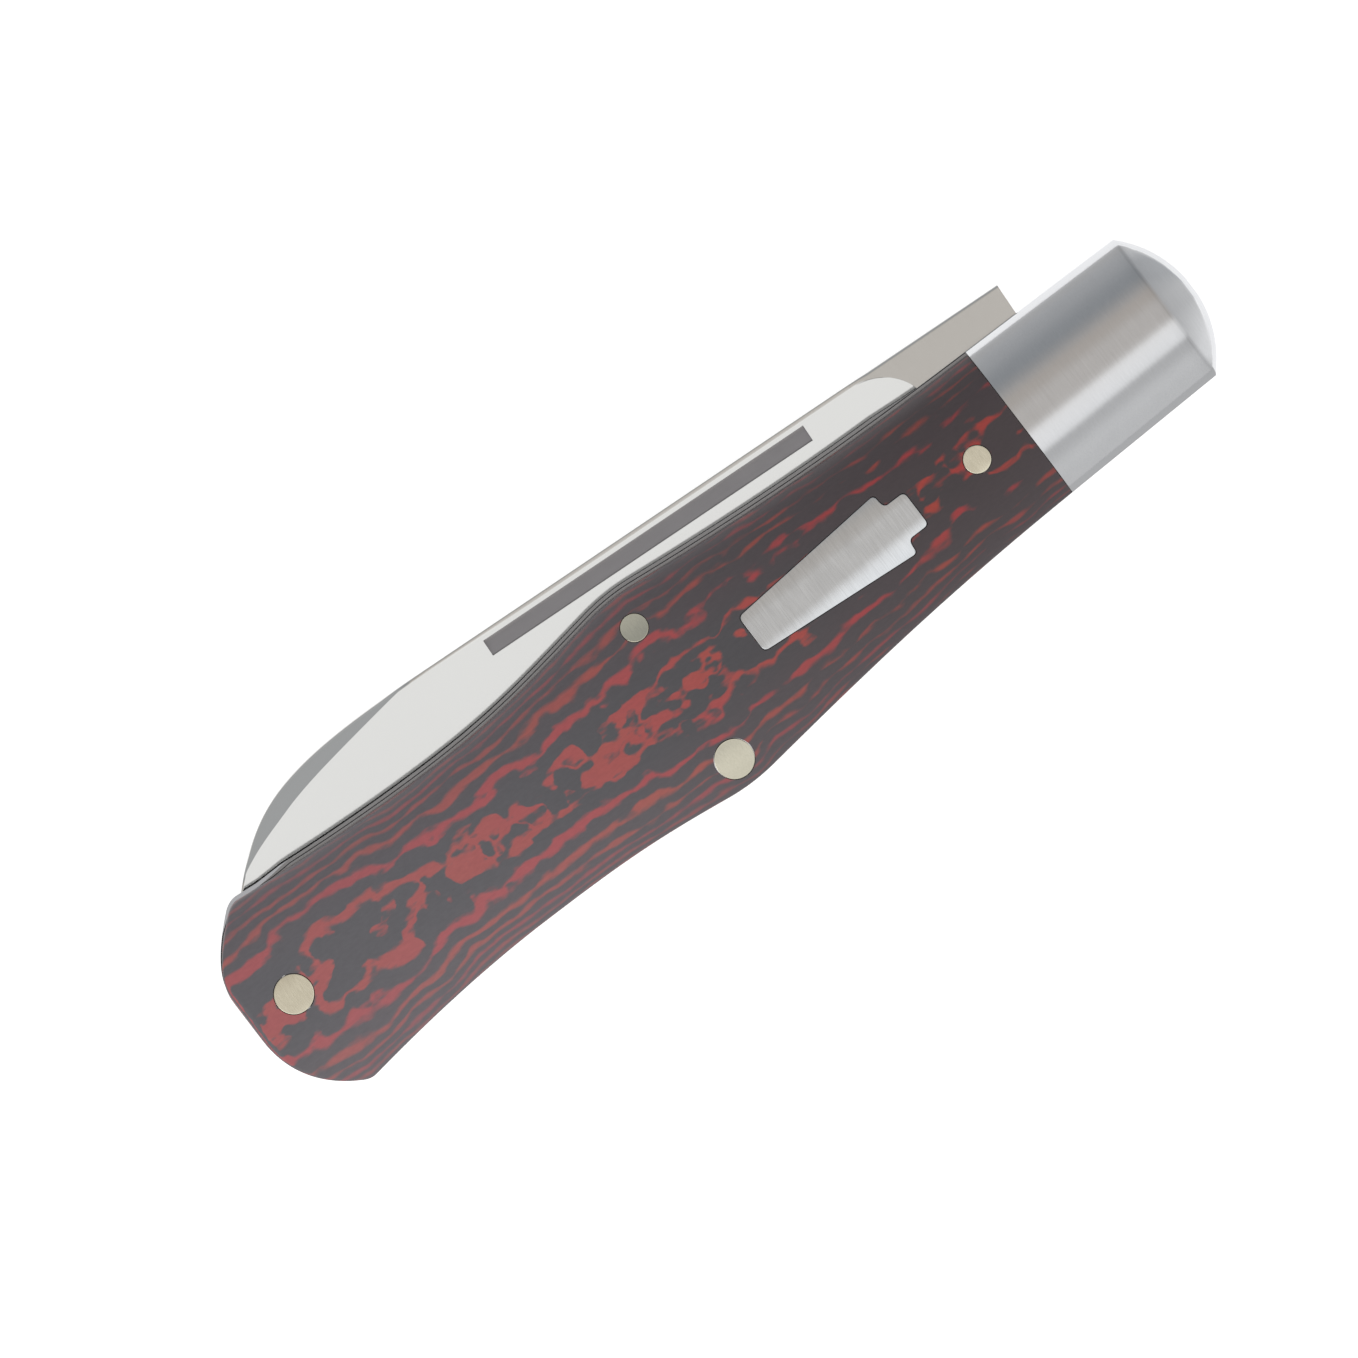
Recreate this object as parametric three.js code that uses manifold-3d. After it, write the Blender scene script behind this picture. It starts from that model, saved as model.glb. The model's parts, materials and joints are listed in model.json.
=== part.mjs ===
// A slip-joint folding pocket knife with one drop-point blade, shown closed.
//
// The handle is a sandwich. From the middle outwards, each side has a steel liner, and on it a steel bolster
// at the pivot end and a laminated cover behind that. The blade and the backspring lie between the liners.
//
// Handle frame, in millimetres: x runs from the butt (0) to the nose of the bolsters, y points out of the
// side that the blade folds into, and z is 0 on the middle plane of the blade. The front, with the shield,
// faces +z.
//
// Blade frame: the pivot is the origin, x runs to the point, y points to the cutting edge, and the spine is
// at the low end of y.

import * as THREE from "three";
import { mergeVertices } from "three/addons/utils/BufferGeometryUtils.js";
import Module from "manifold-3d";

const wasm = await Module();
wasm.setup();

// Outline of the handle
const handleLength = 100; // butt to nose
const bolsterLength = 18.4; // nose to the joint with the cover
const noseRadius = 10;
const noseFlat = 0.9; // half height of the flat at the very end of the nose
const waistX = 25; // the narrowest place, between the butt and the swell
const swellX = 45.6; // the widest place
const swellRound = 2.4; // half length of the rounded top of the swell
// Each long edge, from its corner at the butt: heights at the corner, waist, swell and bolster joint, and the
// slopes up to the swell, down from it and along the bolster.
const bladeSide = {
  cornerX: 4.75, corner: 8.9, waist: 7.72, swell: 9.78, joint: 7.93,
  rise: 0.155, fall: -0.106, run: -0.004,
};
const backSide = {
  cornerX: 5.3, corner: -10.24, waist: -8.6, swell: -9.88, joint: -6.87,
  rise: -0.139, fall: 0.128, run: 0.031,
};
// The butt: an upright flat, and a slope from it to each long edge. Each slope leaves the flat at flatY, and
// its curve is pulled towards flatPull and then towards cornerPull.
const bladeSideButt = { flatY: 2, flatPull: [0, 3.6], cornerPull: [0.6, 5.4] };
const backSideButt = { flatY: -2, flatPull: [0, -4.7], cornerPull: [1, -8] };
// How full the curves between these places are: how far each one follows its end slope, as a share of its
// run, and how much of the fall from the corner to the waist its first third takes up
const climbPull = 0.4;
const fallPull = 0.38;
const waistFall = 0.6;

// Thicknesses
const bladeThickness = 2.8;
const springThickness = 3.2; // also the gap between the liners
const linerThickness = 1.2;
const crownRise = 3.3; // liner to the top of the crown
const crownLand = 0.11; // share of the half width that is flat along the middle
const crownFall = 0.9; // drop of the slow curve from there to the edge
const shoulderFall = 1.3; // further drop of its rounded shoulders
const shoulderPower = 6; // how far out the shoulders begin
const noseFall = 1.9; // drop of the sloped face at the nose
const buttFall = 0.5; // drop of the rounded end at the butt
const buttRound = 0.7; // length of that rounding
const coverReveal = 0.35; // liner left bare beside the covers, on the blade's side

// Fits
const pinGap = 0.03; // round a pin that is pressed or peened in
const runningGap = 0.05; // between the blade and what it moves against
const jointGap = 0.06; // between cover and bolster

// Blade
const pivotFromNose = 8.5;
const spineOffset = 8.54; // pivot to the straight part of the spine
const edgeOffset = 5.2; // pivot to the straight part of the edge
const closedTilt = THREE.MathUtils.degToRad(3.45); // how far the closed spine rises towards the butt
const tipSetback = 3.2; // butt to the closed tip
const tipOffset = 1.43; // pivot line to the tip, towards the edge
const tangRadius = 4.9; // pivot to each of the three flats that the spring bears on
const tangCorner = 2.2; // rounding between the flats
const shoulder = 4.84; // pivot to the step where the spine begins
const kickLength = 8.4; // pivot to the end of the flat that the closed blade rests on
const heel = 11.4; // pivot to the start of the edge
const choilRadius = 0.9; // notch behind the heel
const dropLength = 24.6; // the part of the spine that falls to the tip
const bellyLength = 38; // the part of the edge that rises to the tip
// Their curves leave the straight line at the pull, and come to the tip from the bend: both as shares of the
// length, with the share of the height that the bend has reached
const dropCurve = { pull: 0.62, bend: 0.74, bendHeight: 0.18 };
const bellyCurve = { pull: 0.5, bend: 0.8, bendHeight: 0.2 };
const plungeStart = 14.6; // pivot to the plunge line, at the edge
const tangLap = 0.5; // how far the tang and the ground part run into each other behind it
const plungeReach = 5.4; // how far forward of that it meets the spine
const plungeHeight = 4; // how much of the width its curve takes up
const plungeLean = 0.1; // share of that reach that its straight part near the edge leans by
const spineLand = 0.35; // strip left full thickness under the spine
const spineChamfer = 0.2;
const edgeBevel = 0.7;
const edgeHalf = 0.22; // half thickness behind the edge bevel
const swedgeLength = 21.5; // false edge, tip to its start
const swedgeWidth = 1.4;
const swedgeHalf = 0.35; // half thickness left along the back of the false edge
const swedgeOpening = { lean: 0.8, fullness: 0.75 }; // powers that place its widest part and blunt its ends
// Near the tip, at most these shares of the width left are bevel and false edge, and the back is this share
// of the thickness at the false edge
const tipLimits = { bevel: 0.3, swedge: 0.5, back: 0.7 };
const nick = { start: 24.9, end: 57.2, fromSpine: 0.87, width: 1.36, depth: 0.5, farDepth: 0.24 };

// Pivot
const pivotPinRadius = 1.6;
const bushingRadius = 2.4;
const washerRadius = 4.4;
const washerThickness = 0.15;

// Backspring
const springWaist = 3.2; // height of the arm where it bends
const springWaistToPivot = 24.5;
const springPinWall = 1.7; // steel between the spring pin and the inner edge
const springPadLength = 8.6; // pivot to the back of the pad that the tang bears on
const springButt = { top: 2.3, length: 8.2, slope: 5 }; // the block round the butt pin
const springEase = 0.45; // share of each run of the inner edge that its bends take up

// Pins and rivets
const buttPin = { x: 4.47, y: -0.66, r: 1.7 };
const springPin = { fromBack: 2.46, r: 1.7 };
const middlePin = { fromBladeSide: 3.4, r: 1.19 };
const forwardPin = { fromJoint: 4.74, y: 0.16, r: 1.19 };
const bolsterRivet = { fromJoint: 3.1, fromEdge: 3.1, r: 1 };

// Shield: a tapered plate with a narrower tab on its wide end, and two studs under it
const shield = {
  fromPin: 6.5, length: 15.15, narrow: 3.6, wide: 6.08, tabLength: 2.17, tab: 3.42, corner: 0.5, depth: 0.9,
};
const stud = { r: 0.7, length: 1, fromEnd: 3.4 };

// Fineness
const roundSteps = 32;
const crownSteps = 15; // an odd number, so that the middle strip is flat
const curveSteps = 7;
const cornerSteps = 4;
const plainSteps = 4;
const stationStep = 4;
const nearestStations = 0.08;
const swellStations = 4;
const noseStations = 8;
const buttStations = 3;
const spineSteps = 24;
const edgeSteps = 16;
// Places along the ground part of the blade: over the plunge, to the belly, to the false edge and to the tip,
// which they crowd towards
const bladeSteps = { plunge: 8, straight: 6, belly: 5, drop: 22, crowding: 0.85, last: 0.1, sliver: 0.02 };

// Colours and finishes
const satinSteel = new THREE.MeshStandardMaterial({ color: 0xb9b9ba, roughness: 0.35, metalness: 1 });
const bladeSteel = new THREE.MeshStandardMaterial({ color: 0xd0cec9, roughness: 0.25, metalness: 1 });
const springSteel = new THREE.MeshStandardMaterial({ color: 0xa8a8a8, roughness: 0.4, metalness: 1 });
const nickelSilver = new THREE.MeshStandardMaterial({ color: 0xc9c6bd, roughness: 0.3, metalness: 1 });
const bronze = new THREE.MeshStandardMaterial({ color: 0xb08d57, roughness: 0.4, metalness: 1 });
const redLaminate = new THREE.MeshStandardMaterial({ color: 0x6e2d2e, roughness: 0.35, metalness: 0 });

// Worked out from the sizes above
const bladeHalf = bladeThickness / 2;
const linerInner = springThickness / 2;
const linerOuter = linerInner + linerThickness;
const crownTop = linerOuter + crownRise;
const jointX = handleLength - bolsterLength;
const pivotX = handleLength - pivotFromNose;

const mix = (a, b, t) => a + (b - a) * t;
const steps = (count, make) => Array.from({ length: count }, (_, i) => make(i));

// Height of a line through points that are sorted by x.
function heightAt(points, x) {
  const next = points.findIndex((p) => p.x >= x);
  if (next < 1) return next === 0 ? points[0].y : points.at(-1).y;
  const [a, b] = [points[next - 1], points[next]];
  return mix(a.y, b.y, (x - a.x) / (b.x - a.x));
}

// One side of the outline, from the flat of the butt to the end of the bolster.
function sidePoints(butt, edge) {
  const rampStart = swellX - swellRound;
  const rampEnd = swellX + swellRound;
  const pull = (waistX - edge.cornerX) / 3;
  const climb = (rampStart - waistX) * climbPull;
  const fall = (jointX - rampEnd) * fallPull;
  const startY = edge.swell - (edge.rise * swellRound) / 2;
  const endY = edge.swell + (edge.fall * swellRound) / 2;
  const path = new THREE.Path();
  path.moveTo(0, butt.flatY);
  path.bezierCurveTo(...butt.flatPull, ...butt.cornerPull, edge.cornerX, edge.corner);
  path.bezierCurveTo(
    edge.cornerX + pull, mix(edge.corner, edge.waist, waistFall),
    waistX - pull, edge.waist, waistX, edge.waist);
  path.bezierCurveTo(
    waistX + climb, edge.waist, rampStart - climb, startY - edge.rise * climb, rampStart, startY);
  path.quadraticCurveTo(swellX, edge.swell + ((edge.rise - edge.fall) * swellRound) / 4, rampEnd, endY);
  path.bezierCurveTo(
    rampEnd + fall, endY + edge.fall * fall, jointX - fall, edge.joint - edge.run * fall, jointX, edge.joint);
  path.lineTo(handleLength, edge.joint + edge.run * bolsterLength);
  return path.getPoints(curveSteps);
}

const bladeSidePoints = sidePoints(bladeSideButt, bladeSide);
const backSidePoints = sidePoints(backSideButt, backSide);
const lastCornerX = Math.max(bladeSide.cornerX, backSide.cornerX);
const bladeSideAt = (x) => heightAt(bladeSidePoints, x);
const backSideAt = (x) => heightAt(backSidePoints, x);

// The round nose begins where its arc meets the long edges.
const noseHalf = (bladeSideAt(handleLength) - backSideAt(handleLength)) / 2;
const noseMiddle = (bladeSideAt(handleLength) + backSideAt(handleLength)) / 2;
const noseCentre = handleLength - Math.sqrt(noseRadius ** 2 - noseFlat ** 2);
const noseStart = noseCentre + Math.sqrt(noseRadius ** 2 - noseHalf ** 2);
const noseReach = (x) => Math.sqrt(noseRadius ** 2 - (x - noseCentre) ** 2);
const topAt = (x) => (x > noseStart ? Math.min(bladeSideAt(x), noseMiddle + noseReach(x)) : bladeSideAt(x));
const bottomAt = (x) => (x > noseStart ? Math.max(backSideAt(x), noseMiddle - noseReach(x)) : backSideAt(x));

// Places along the handle: the corners of both sides, even steps, and closer ones round the nose and butt.
function stations(from, to) {
  const marks = [
    ...[...bladeSidePoints, ...backSidePoints].map((p) => p.x).filter((x) => x <= lastCornerX),
    ...steps(Math.ceil(handleLength / stationStep), (i) => i * stationStep),
    ...steps(swellStations + 1, (i) => swellX + swellRound * ((2 * i) / swellStations - 1)),
    ...steps(noseStations, (i) => mix(noseStart, handleLength, Math.sin((i * Math.PI) / (2 * noseStations)))),
    ...steps(buttStations + 1, (i) => buttRound * (1 - Math.cos((i * Math.PI) / (2 * buttStations)))),
  ].sort((a, b) => a - b);
  const inside = marks.filter((x) => x > from + nearestStations && x < to - nearestStations);
  return [from, ...inside.filter((x, i) => i === 0 || x - inside[i - 1] > nearestStations), to];
}

// Solids for joining and cutting
function solidOf(geometry) {
  const flat = geometry.index ? geometry.toNonIndexed() : geometry;
  const bare = new THREE.BufferGeometry();
  bare.setAttribute("position", flat.getAttribute("position"));
  const merged = mergeVertices(bare, 1e-4);
  return new wasm.Manifold(new wasm.Mesh({
    numProp: 3,
    vertProperties: merged.getAttribute("position").array,
    triVerts: new Uint32Array(merged.index.array),
  }));
}

function geometryOf(solid) {
  const mesh = solid.getMesh();
  const geometry = new THREE.BufferGeometry();
  geometry.setAttribute("position", new THREE.BufferAttribute(mesh.vertProperties, mesh.numProp));
  geometry.setIndex(new THREE.BufferAttribute(mesh.triVerts, 1));
  geometry.computeVertexNormals();
  return geometry;
}

// A solid through rings of [y, z] points, one for each place along x. Seen from +x a ring runs
// counter-clockwise.
function loft(places, ringAt) {
  const rings = places.map((x) => ringAt(x).map(([y, z]) => [x, y, z]));
  const size = rings[0].length;
  const last = (rings.length - 1) * size;
  const index = [];
  for (let start = 0; start < last; start += size) {
    for (let j = 0; j < size; j++) {
      const a = start + j;
      const b = start + ((j + 1) % size);
      index.push(a, b, b + size, a, b + size, a + size);
    }
  }
  for (let j = 1; j < size - 1; j++) index.push(0, j + 1, j, last, last + j, last + j + 1);
  const geometry = new THREE.BufferGeometry();
  geometry.setAttribute("position", new THREE.Float32BufferAttribute(rings.flat(2), 3));
  geometry.setIndex(index);
  return solidOf(geometry);
}

function prism(shape, from, to) {
  const options = { depth: to - from, bevelEnabled: false, curveSegments: curveSteps };
  return solidOf(new THREE.ExtrudeGeometry(shape, options).translate(0, 0, from));
}

function rod(x, y, radius, from, to) {
  const geometry = new THREE.CylinderGeometry(radius, radius, to - from, roundSteps);
  return solidOf(geometry.rotateX(Math.PI / 2).translate(x, y, (from + to) / 2));
}

const without = (solid, ...cutters) => cutters.reduce((left, cutter) => left.subtract(cutter), solid);

// The crowned outside of the handle. Across its width it falls slowly from a flat strip along the middle, and
// then quickly over its shoulders. The nose is cut by a sloped face, and the end at the butt is rounded over.
const revealAt = (x) => (x < jointX ? coverReveal : 0);

function crownHeight(x, y) {
  const along = THREE.MathUtils.clamp(x, lastCornerX, noseStart);
  const top = bladeSideAt(along) - revealAt(x);
  const bottom = backSideAt(along);
  const share = Math.min(1, Math.abs(y - (top + bottom) / 2) / ((top - bottom) / 2));
  const outward = Math.max(0, (share - crownLand) / (1 - crownLand));
  const crowned = crownRise - crownFall * outward ** 2 - shoulderFall * outward ** shoulderPower;
  const intoNose = Math.max(0, (x - noseStart) / (handleLength - noseStart));
  const intoButt = Math.max(0, 1 - x / buttRound);
  return linerOuter + crowned - noseFall * intoNose - buttFall * (1 - Math.sqrt(1 - intoButt ** 2));
}

function crownLine(x, side) {
  return steps(crownSteps + 1, (i) => {
    const y = mix(bottomAt(x), topAt(x) - revealAt(x), (1 - Math.cos((i * Math.PI) / crownSteps)) / 2);
    return [y, side * crownHeight(x, y)];
  });
}

function crownedBody(side, fromX, toX) {
  return loft(stations(fromX, toX), (x) => {
    const [bottom, top] = [bottomAt(x), topAt(x) - revealAt(x)];
    const ring = [[bottom, side * linerOuter], ...crownLine(x, side), [top, side * linerOuter]];
    return side > 0 ? ring.reverse() : ring;
  });
}

// All that lies inside the outside surface, from the rear crown to the front one.
const withinCrowns = loft(
  stations(0, handleLength), (x) => [...crownLine(x, -1), ...crownLine(x, 1).reverse()]);

// The pivot: with the blade open, its spine lies flush with the back of the handle.
const openTilt = Math.atan(backSide.run);
const pivotY = backSideAt(pivotX) + spineOffset / Math.cos(openTilt);
const closedAngle = Math.PI - closedTilt;

const rivetX = jointX + bolsterRivet.fromJoint;
const pins = {
  pivot: { x: pivotX, y: pivotY, r: pivotPinRadius },
  spring: { x: swellX, y: backSideAt(swellX) + springPin.fromBack, r: springPin.r },
  butt: buttPin,
  middle: { x: swellX, y: bladeSideAt(swellX) - middlePin.fromBladeSide, r: middlePin.r },
  forward: { x: jointX - forwardPin.fromJoint, y: forwardPin.y, r: forwardPin.r },
  bladeSideRivet: { x: rivetX, y: bladeSideAt(rivetX) - bolsterRivet.fromEdge, r: bolsterRivet.r },
  backSideRivet: { x: rivetX, y: backSideAt(rivetX) + bolsterRivet.fromEdge, r: bolsterRivet.r },
};

const overlap = 1; // how far a cutter runs past what it cuts
const holeFor = (name) => {
  const { x, y, r } = pins[name];
  return rod(x, y, r + pinGap, -crownTop - overlap, crownTop + overlap);
};

// Pins are peened over and ground flush with the crown.
const throughPin = (name) => {
  const { x, y, r } = pins[name];
  return rod(x, y, r, -crownTop, crownTop).intersect(withinCrowns);
};

const sidePin = (name, side) => {
  const { x, y, r } = pins[name];
  const [from, to] = side > 0 ? [linerInner, crownTop] : [-crownTop, -linerInner];
  return rod(x, y, r, from, to).intersect(withinCrowns);
};

// Liners, covers and bolsters
function liner(side) {
  const xs = stations(0, handleLength);
  const bottom = xs.map((x) => new THREE.Vector2(x, bottomAt(x)));
  const top = xs.map((x) => new THREE.Vector2(x, topAt(x)));
  const plan = new THREE.Shape([...bottom, ...top.reverse()]);
  const [from, to] = side > 0 ? [linerInner, linerOuter] : [-linerOuter, -linerInner];
  return without(prism(plan, from, to), ...Object.keys(pins).map(holeFor));
}

function cover(side) {
  const holes = ["spring", "butt", "middle", "forward"].map(holeFor);
  const body = without(crownedBody(side, 0, jointX - jointGap), ...holes);
  return side > 0 ? without(body, shieldPocket()) : body;
}

function bolster(side) {
  const holes = ["pivot", "bladeSideRivet", "backSideRivet"].map(holeFor);
  return without(crownedBody(side, jointX, handleLength), ...holes);
}

// The shield lies behind the forward pin, with its tab towards it.
const shieldFloor = crownTop - shield.depth;
const shieldStep = pins.forward.x - shield.fromPin - shield.tabLength;
const shieldX = shieldStep - shield.length;
const studXs = [shieldX + stud.fromEnd, shieldStep - stud.fromEnd];

// The plan of the shield, or of its pocket when it is grown.
function shieldPlan(grow) {
  const c = shield.corner;
  const left = shieldX - grow;
  const step = shieldStep + grow;
  const right = step + shield.tabLength;
  const [narrow, wide, tab] = [shield.narrow, shield.wide, shield.tab].map((size) => size / 2 + grow);
  const slope = (wide - narrow) / (step - left);
  const upper = new THREE.Path();
  upper.moveTo(left, 0);
  upper.lineTo(left, narrow - c);
  upper.quadraticCurveTo(left, narrow, left + c, narrow + slope * c);
  upper.lineTo(step - c, wide - slope * c);
  upper.quadraticCurveTo(step, wide, step, wide - c);
  upper.quadraticCurveTo(step, tab, step + c, tab);
  upper.lineTo(right - c, tab);
  upper.quadraticCurveTo(right, tab, right, tab - c);
  const half = upper.getPoints(cornerSteps).slice(1);
  const mirrored = half.map((p) => new THREE.Vector2(p.x, -p.y)).reverse();
  return new THREE.Shape([...half, ...mirrored]);
}

function shieldPlate() {
  const plate = prism(shieldPlan(0), shieldFloor, crownTop).intersect(withinCrowns);
  const studs = studXs.map((x) => rod(x, 0, stud.r, shieldFloor - stud.length, crownTop - shield.depth / 2));
  return studs.reduce((joined, post) => joined.add(post), plate);
}

function shieldPocket() {
  const pocket = prism(shieldPlan(pinGap), shieldFloor, crownTop + overlap);
  const holes = studXs.map((x) => rod(x, 0, stud.r + pinGap, linerOuter - overlap, crownTop));
  return holes.reduce((joined, hole) => joined.add(hole), pocket);
}

// Backspring: its back is the back of the handle. The butt pin and the spring pin hold it; its arm is free.
function backspring() {
  const padY = pivotY - tangRadius - runningGap;
  const padX = pivotX - springPadLength;
  const springWaistX = pivotX - springWaistToPivot;
  const armY = pins.spring.y + springPin.r + springPinWall;
  const waistY = backSideAt(springWaistX) + springWaist;
  const reach = (shoulder - runningGap) / Math.cos(openTilt);
  const endX = (y) => pivotX + reach - (y - pivotY) * Math.tan(openTilt);
  const [rear, front] = [(springWaistX - swellX) * springEase, (padX - springWaistX) * springEase];
  const blockEnd = springButt.length + springButt.slope;
  const inner = new THREE.Path();
  inner.moveTo(endX(padY), padY);
  inner.lineTo(padX, padY);
  inner.bezierCurveTo(padX - front, padY, springWaistX + front, waistY, springWaistX, waistY);
  inner.bezierCurveTo(springWaistX - rear, waistY, swellX + rear, armY, swellX, armY);
  inner.lineTo(blockEnd, armY);
  const bend = springButt.slope * springEase;
  inner.bezierCurveTo(
    blockEnd - bend, armY, springButt.length + bend, springButt.top, springButt.length, springButt.top);
  inner.lineTo(0, springButt.top);
  const backEnd = endX(backSideAt(pivotX + shoulder));
  const back = stations(0, backEnd).map((x) => new THREE.Vector2(x, bottomAt(x)));
  const plan = new THREE.Shape([...back, ...inner.getPoints(curveSteps)]);
  return without(prism(plan, -linerInner, linerInner), holeFor("spring"), holeFor("butt"));
}

// Blade outline
const tipX = (pivotX - tipSetback - tipOffset * Math.sin(closedTilt)) / Math.cos(closedTilt);
const dropX = tipX - dropLength;
const bellyX = tipX - bellyLength;

// The points of a curve that runs from a straight line at height y to the tip.
const curveToTip = (startX, y, curve, count) => new THREE.CubicBezierCurve(
  new THREE.Vector2(startX, y),
  new THREE.Vector2(mix(startX, tipX, curve.pull), y),
  new THREE.Vector2(mix(startX, tipX, curve.bend), mix(y, tipOffset, curve.bendHeight)),
  new THREE.Vector2(tipX, tipOffset),
).getPoints(count);
const spinePoints = curveToTip(dropX, -spineOffset, dropCurve, spineSteps);
const edgePoints = curveToTip(bellyX, edgeOffset, bellyCurve, edgeSteps);
const spineAt = (x) => heightAt(spinePoints, x);
const edgeAt = (x) => heightAt(edgePoints, x);

// The flat grind falls straight from the strip under the spine to the edge bevel, and follows the edge to the
// tip.
const grindTop = -spineOffset + spineLand;
const grindSlope = (bladeHalf - edgeHalf) / (edgeOffset - edgeBevel - grindTop);
const groundHalf = (x, y) => Math.min(bladeHalf, edgeHalf + grindSlope * (edgeAt(x) - edgeBevel - y));

// The plunge line leans a little from the edge, then curves forward to meet the strip under the spine.
function plungeAt(x) {
  const into = Math.min(1, (x - plungeStart) / plungeReach);
  const curveFoot = grindTop + plungeHeight;
  if (into < plungeLean) return mix(edgeOffset - edgeBevel - spineChamfer, curveFoot, into / plungeLean);
  return curveFoot - plungeHeight * Math.sqrt(1 - ((1 - into) / (1 - plungeLean)) ** 2);
}

// How far the false edge has opened out, from 0 at its ends to 1 over the drop.
function swedgeShare(x) {
  const into = (x - tipX + swedgeLength) / swedgeLength;
  return into > 0 ? Math.sin(Math.PI * into ** swedgeOpening.lean) ** swedgeOpening.fullness : 0;
}

// One half of a cross-section of the ground part, from the edge to the spine, as [y, half thickness].
function groundSection(x) {
  const [edge, spine] = [edgeAt(x), spineAt(x)];
  const bevel = Math.min(edgeBevel, (edge - spine) * tipLimits.bevel);
  const share = swedgeShare(x);
  if (share > 0) {
    const top = spine + Math.min(spineLand + swedgeWidth * share, (edge - spine) * tipLimits.swedge);
    const topHalf = groundHalf(x, top);
    const backHalf = Math.min(mix(bladeHalf, swedgeHalf, share), topHalf * tipLimits.back);
    const face = (t) => [mix(top, spine, t), mix(topHalf, backHalf, t)];
    return [[edge, 0], [edge - bevel, edgeHalf], ...steps(4, (i) => face(i / 3))];
  }
  const top = plungeAt(x);
  return [
    [edge, 0], [edge - bevel, edgeHalf], [top, groundHalf(x, top)], [top - spineChamfer / 8, bladeHalf],
    [spine + spineChamfer, bladeHalf], [spine, bladeHalf - spineChamfer],
  ];
}

// The unground part behind the plunge line has the same points, spread round a plain rectangle.
function plainSection() {
  const side = steps(plainSteps + 1, (i) => [mix(edgeOffset, -spineOffset, i / plainSteps), bladeHalf]);
  return [[edgeOffset, 0], ...side];
}

function blade() {
  const plungeEnd = plungeStart + plungeReach;
  const swedgeX = tipX - swedgeLength;
  const { plunge, straight, belly, drop, crowding, last, sliver } = bladeSteps;
  const places = [
    plungeStart - 2 * tangLap,
    plungeStart - sliver,
    ...steps(plunge + 1, (i) => mix(plungeStart, plungeEnd, 1 - Math.cos((i * Math.PI) / (2 * plunge)))),
    ...steps(straight, (i) => mix(plungeEnd, bellyX, i / straight)),
    ...steps(belly, (i) => mix(bellyX, swedgeX, i / belly)),
    ...steps(drop, (i) => mix(swedgeX, tipX, (i / drop) ** crowding)),
    tipX - last,
  ];
  const ground = loft(places, (x) => {
    const half = x < plungeStart ? plainSection() : groundSection(x);
    return [...half, ...half.slice(1).reverse().map(([y, z]) => [y, -z])];
  });
  const hole = rod(0, 0, bushingRadius + runningGap, -bladeThickness, bladeThickness);
  return without(prism(tangPlan(), -bladeHalf, bladeHalf).add(ground), hole, nailNick());
}

// The tang has three flats for the spring: one faces it when the blade is closed, one when it is half open
// and one when it is fully open.
const flats = [closedAngle, (closedAngle + openTilt) / 2, openTilt].map((angle) => -Math.PI / 2 - angle);

function tangPlan() {
  const centre = new THREE.Vector2();
  const onFlat = (facing, along) => new THREE.Vector2(tangRadius, -along).rotateAround(centre, facing);
  const joinX = plungeStart - tangLap;
  const kick = onFlat(flats[0], kickLength);
  const foot = onFlat(flats[2], -shoulder);
  const plan = new THREE.Shape();
  plan.moveTo(joinX, -spineOffset);
  plan.lineTo(joinX, edgeOffset);
  plan.lineTo(heel, edgeOffset);
  plan.absarc(heel - choilRadius, edgeOffset, choilRadius, 0, -Math.PI, true);
  plan.quadraticCurveTo(kick.x + choilRadius / 2, kick.y, kick.x, kick.y);
  for (const [first, second] of [[flats[0], flats[1]], [flats[1], flats[2]]]) {
    const middle = (first + second) / 2;
    const out = (tangRadius - tangCorner) / Math.cos((second - first) / 2);
    plan.absarc(out * Math.cos(middle), out * Math.sin(middle), tangCorner, first, second, false);
  }
  plan.lineTo(foot.x, foot.y);
  plan.lineTo(shoulder, foot.y);
  plan.lineTo(shoulder, -spineOffset);
  return plan;
}

// The long pull: a shallow slot in the front under the spine, whose floor climbs away from the spine.
function nailNick() {
  const near = -spineOffset + nick.fromSpine;
  const far = near + nick.width;
  return loft([nick.start, nick.end], (x) => [
    [near, groundHalf(x, near) - nick.depth], [far, groundHalf(x, far) - nick.farDepth],
    [far, bladeThickness], [near, bladeThickness],
  ]);
}

// Pivot bushing and washers
const bushing = () => without(rod(pivotX, pivotY, bushingRadius, -linerInner, linerInner), holeFor("pivot"));

function washer(side) {
  const near = linerInner - washerThickness;
  const [from, to] = side > 0 ? [near, linerInner] : [-linerInner, -near];
  const hole = rod(pivotX, pivotY, bushingRadius + runningGap, -crownTop, crownTop);
  return without(rod(pivotX, pivotY, washerRadius, from, to), hole);
}

// The assembly
function part(name, solid, material) {
  const mesh = new THREE.Mesh(geometryOf(solid), material);
  mesh.name = name;
  return mesh;
}

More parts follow.
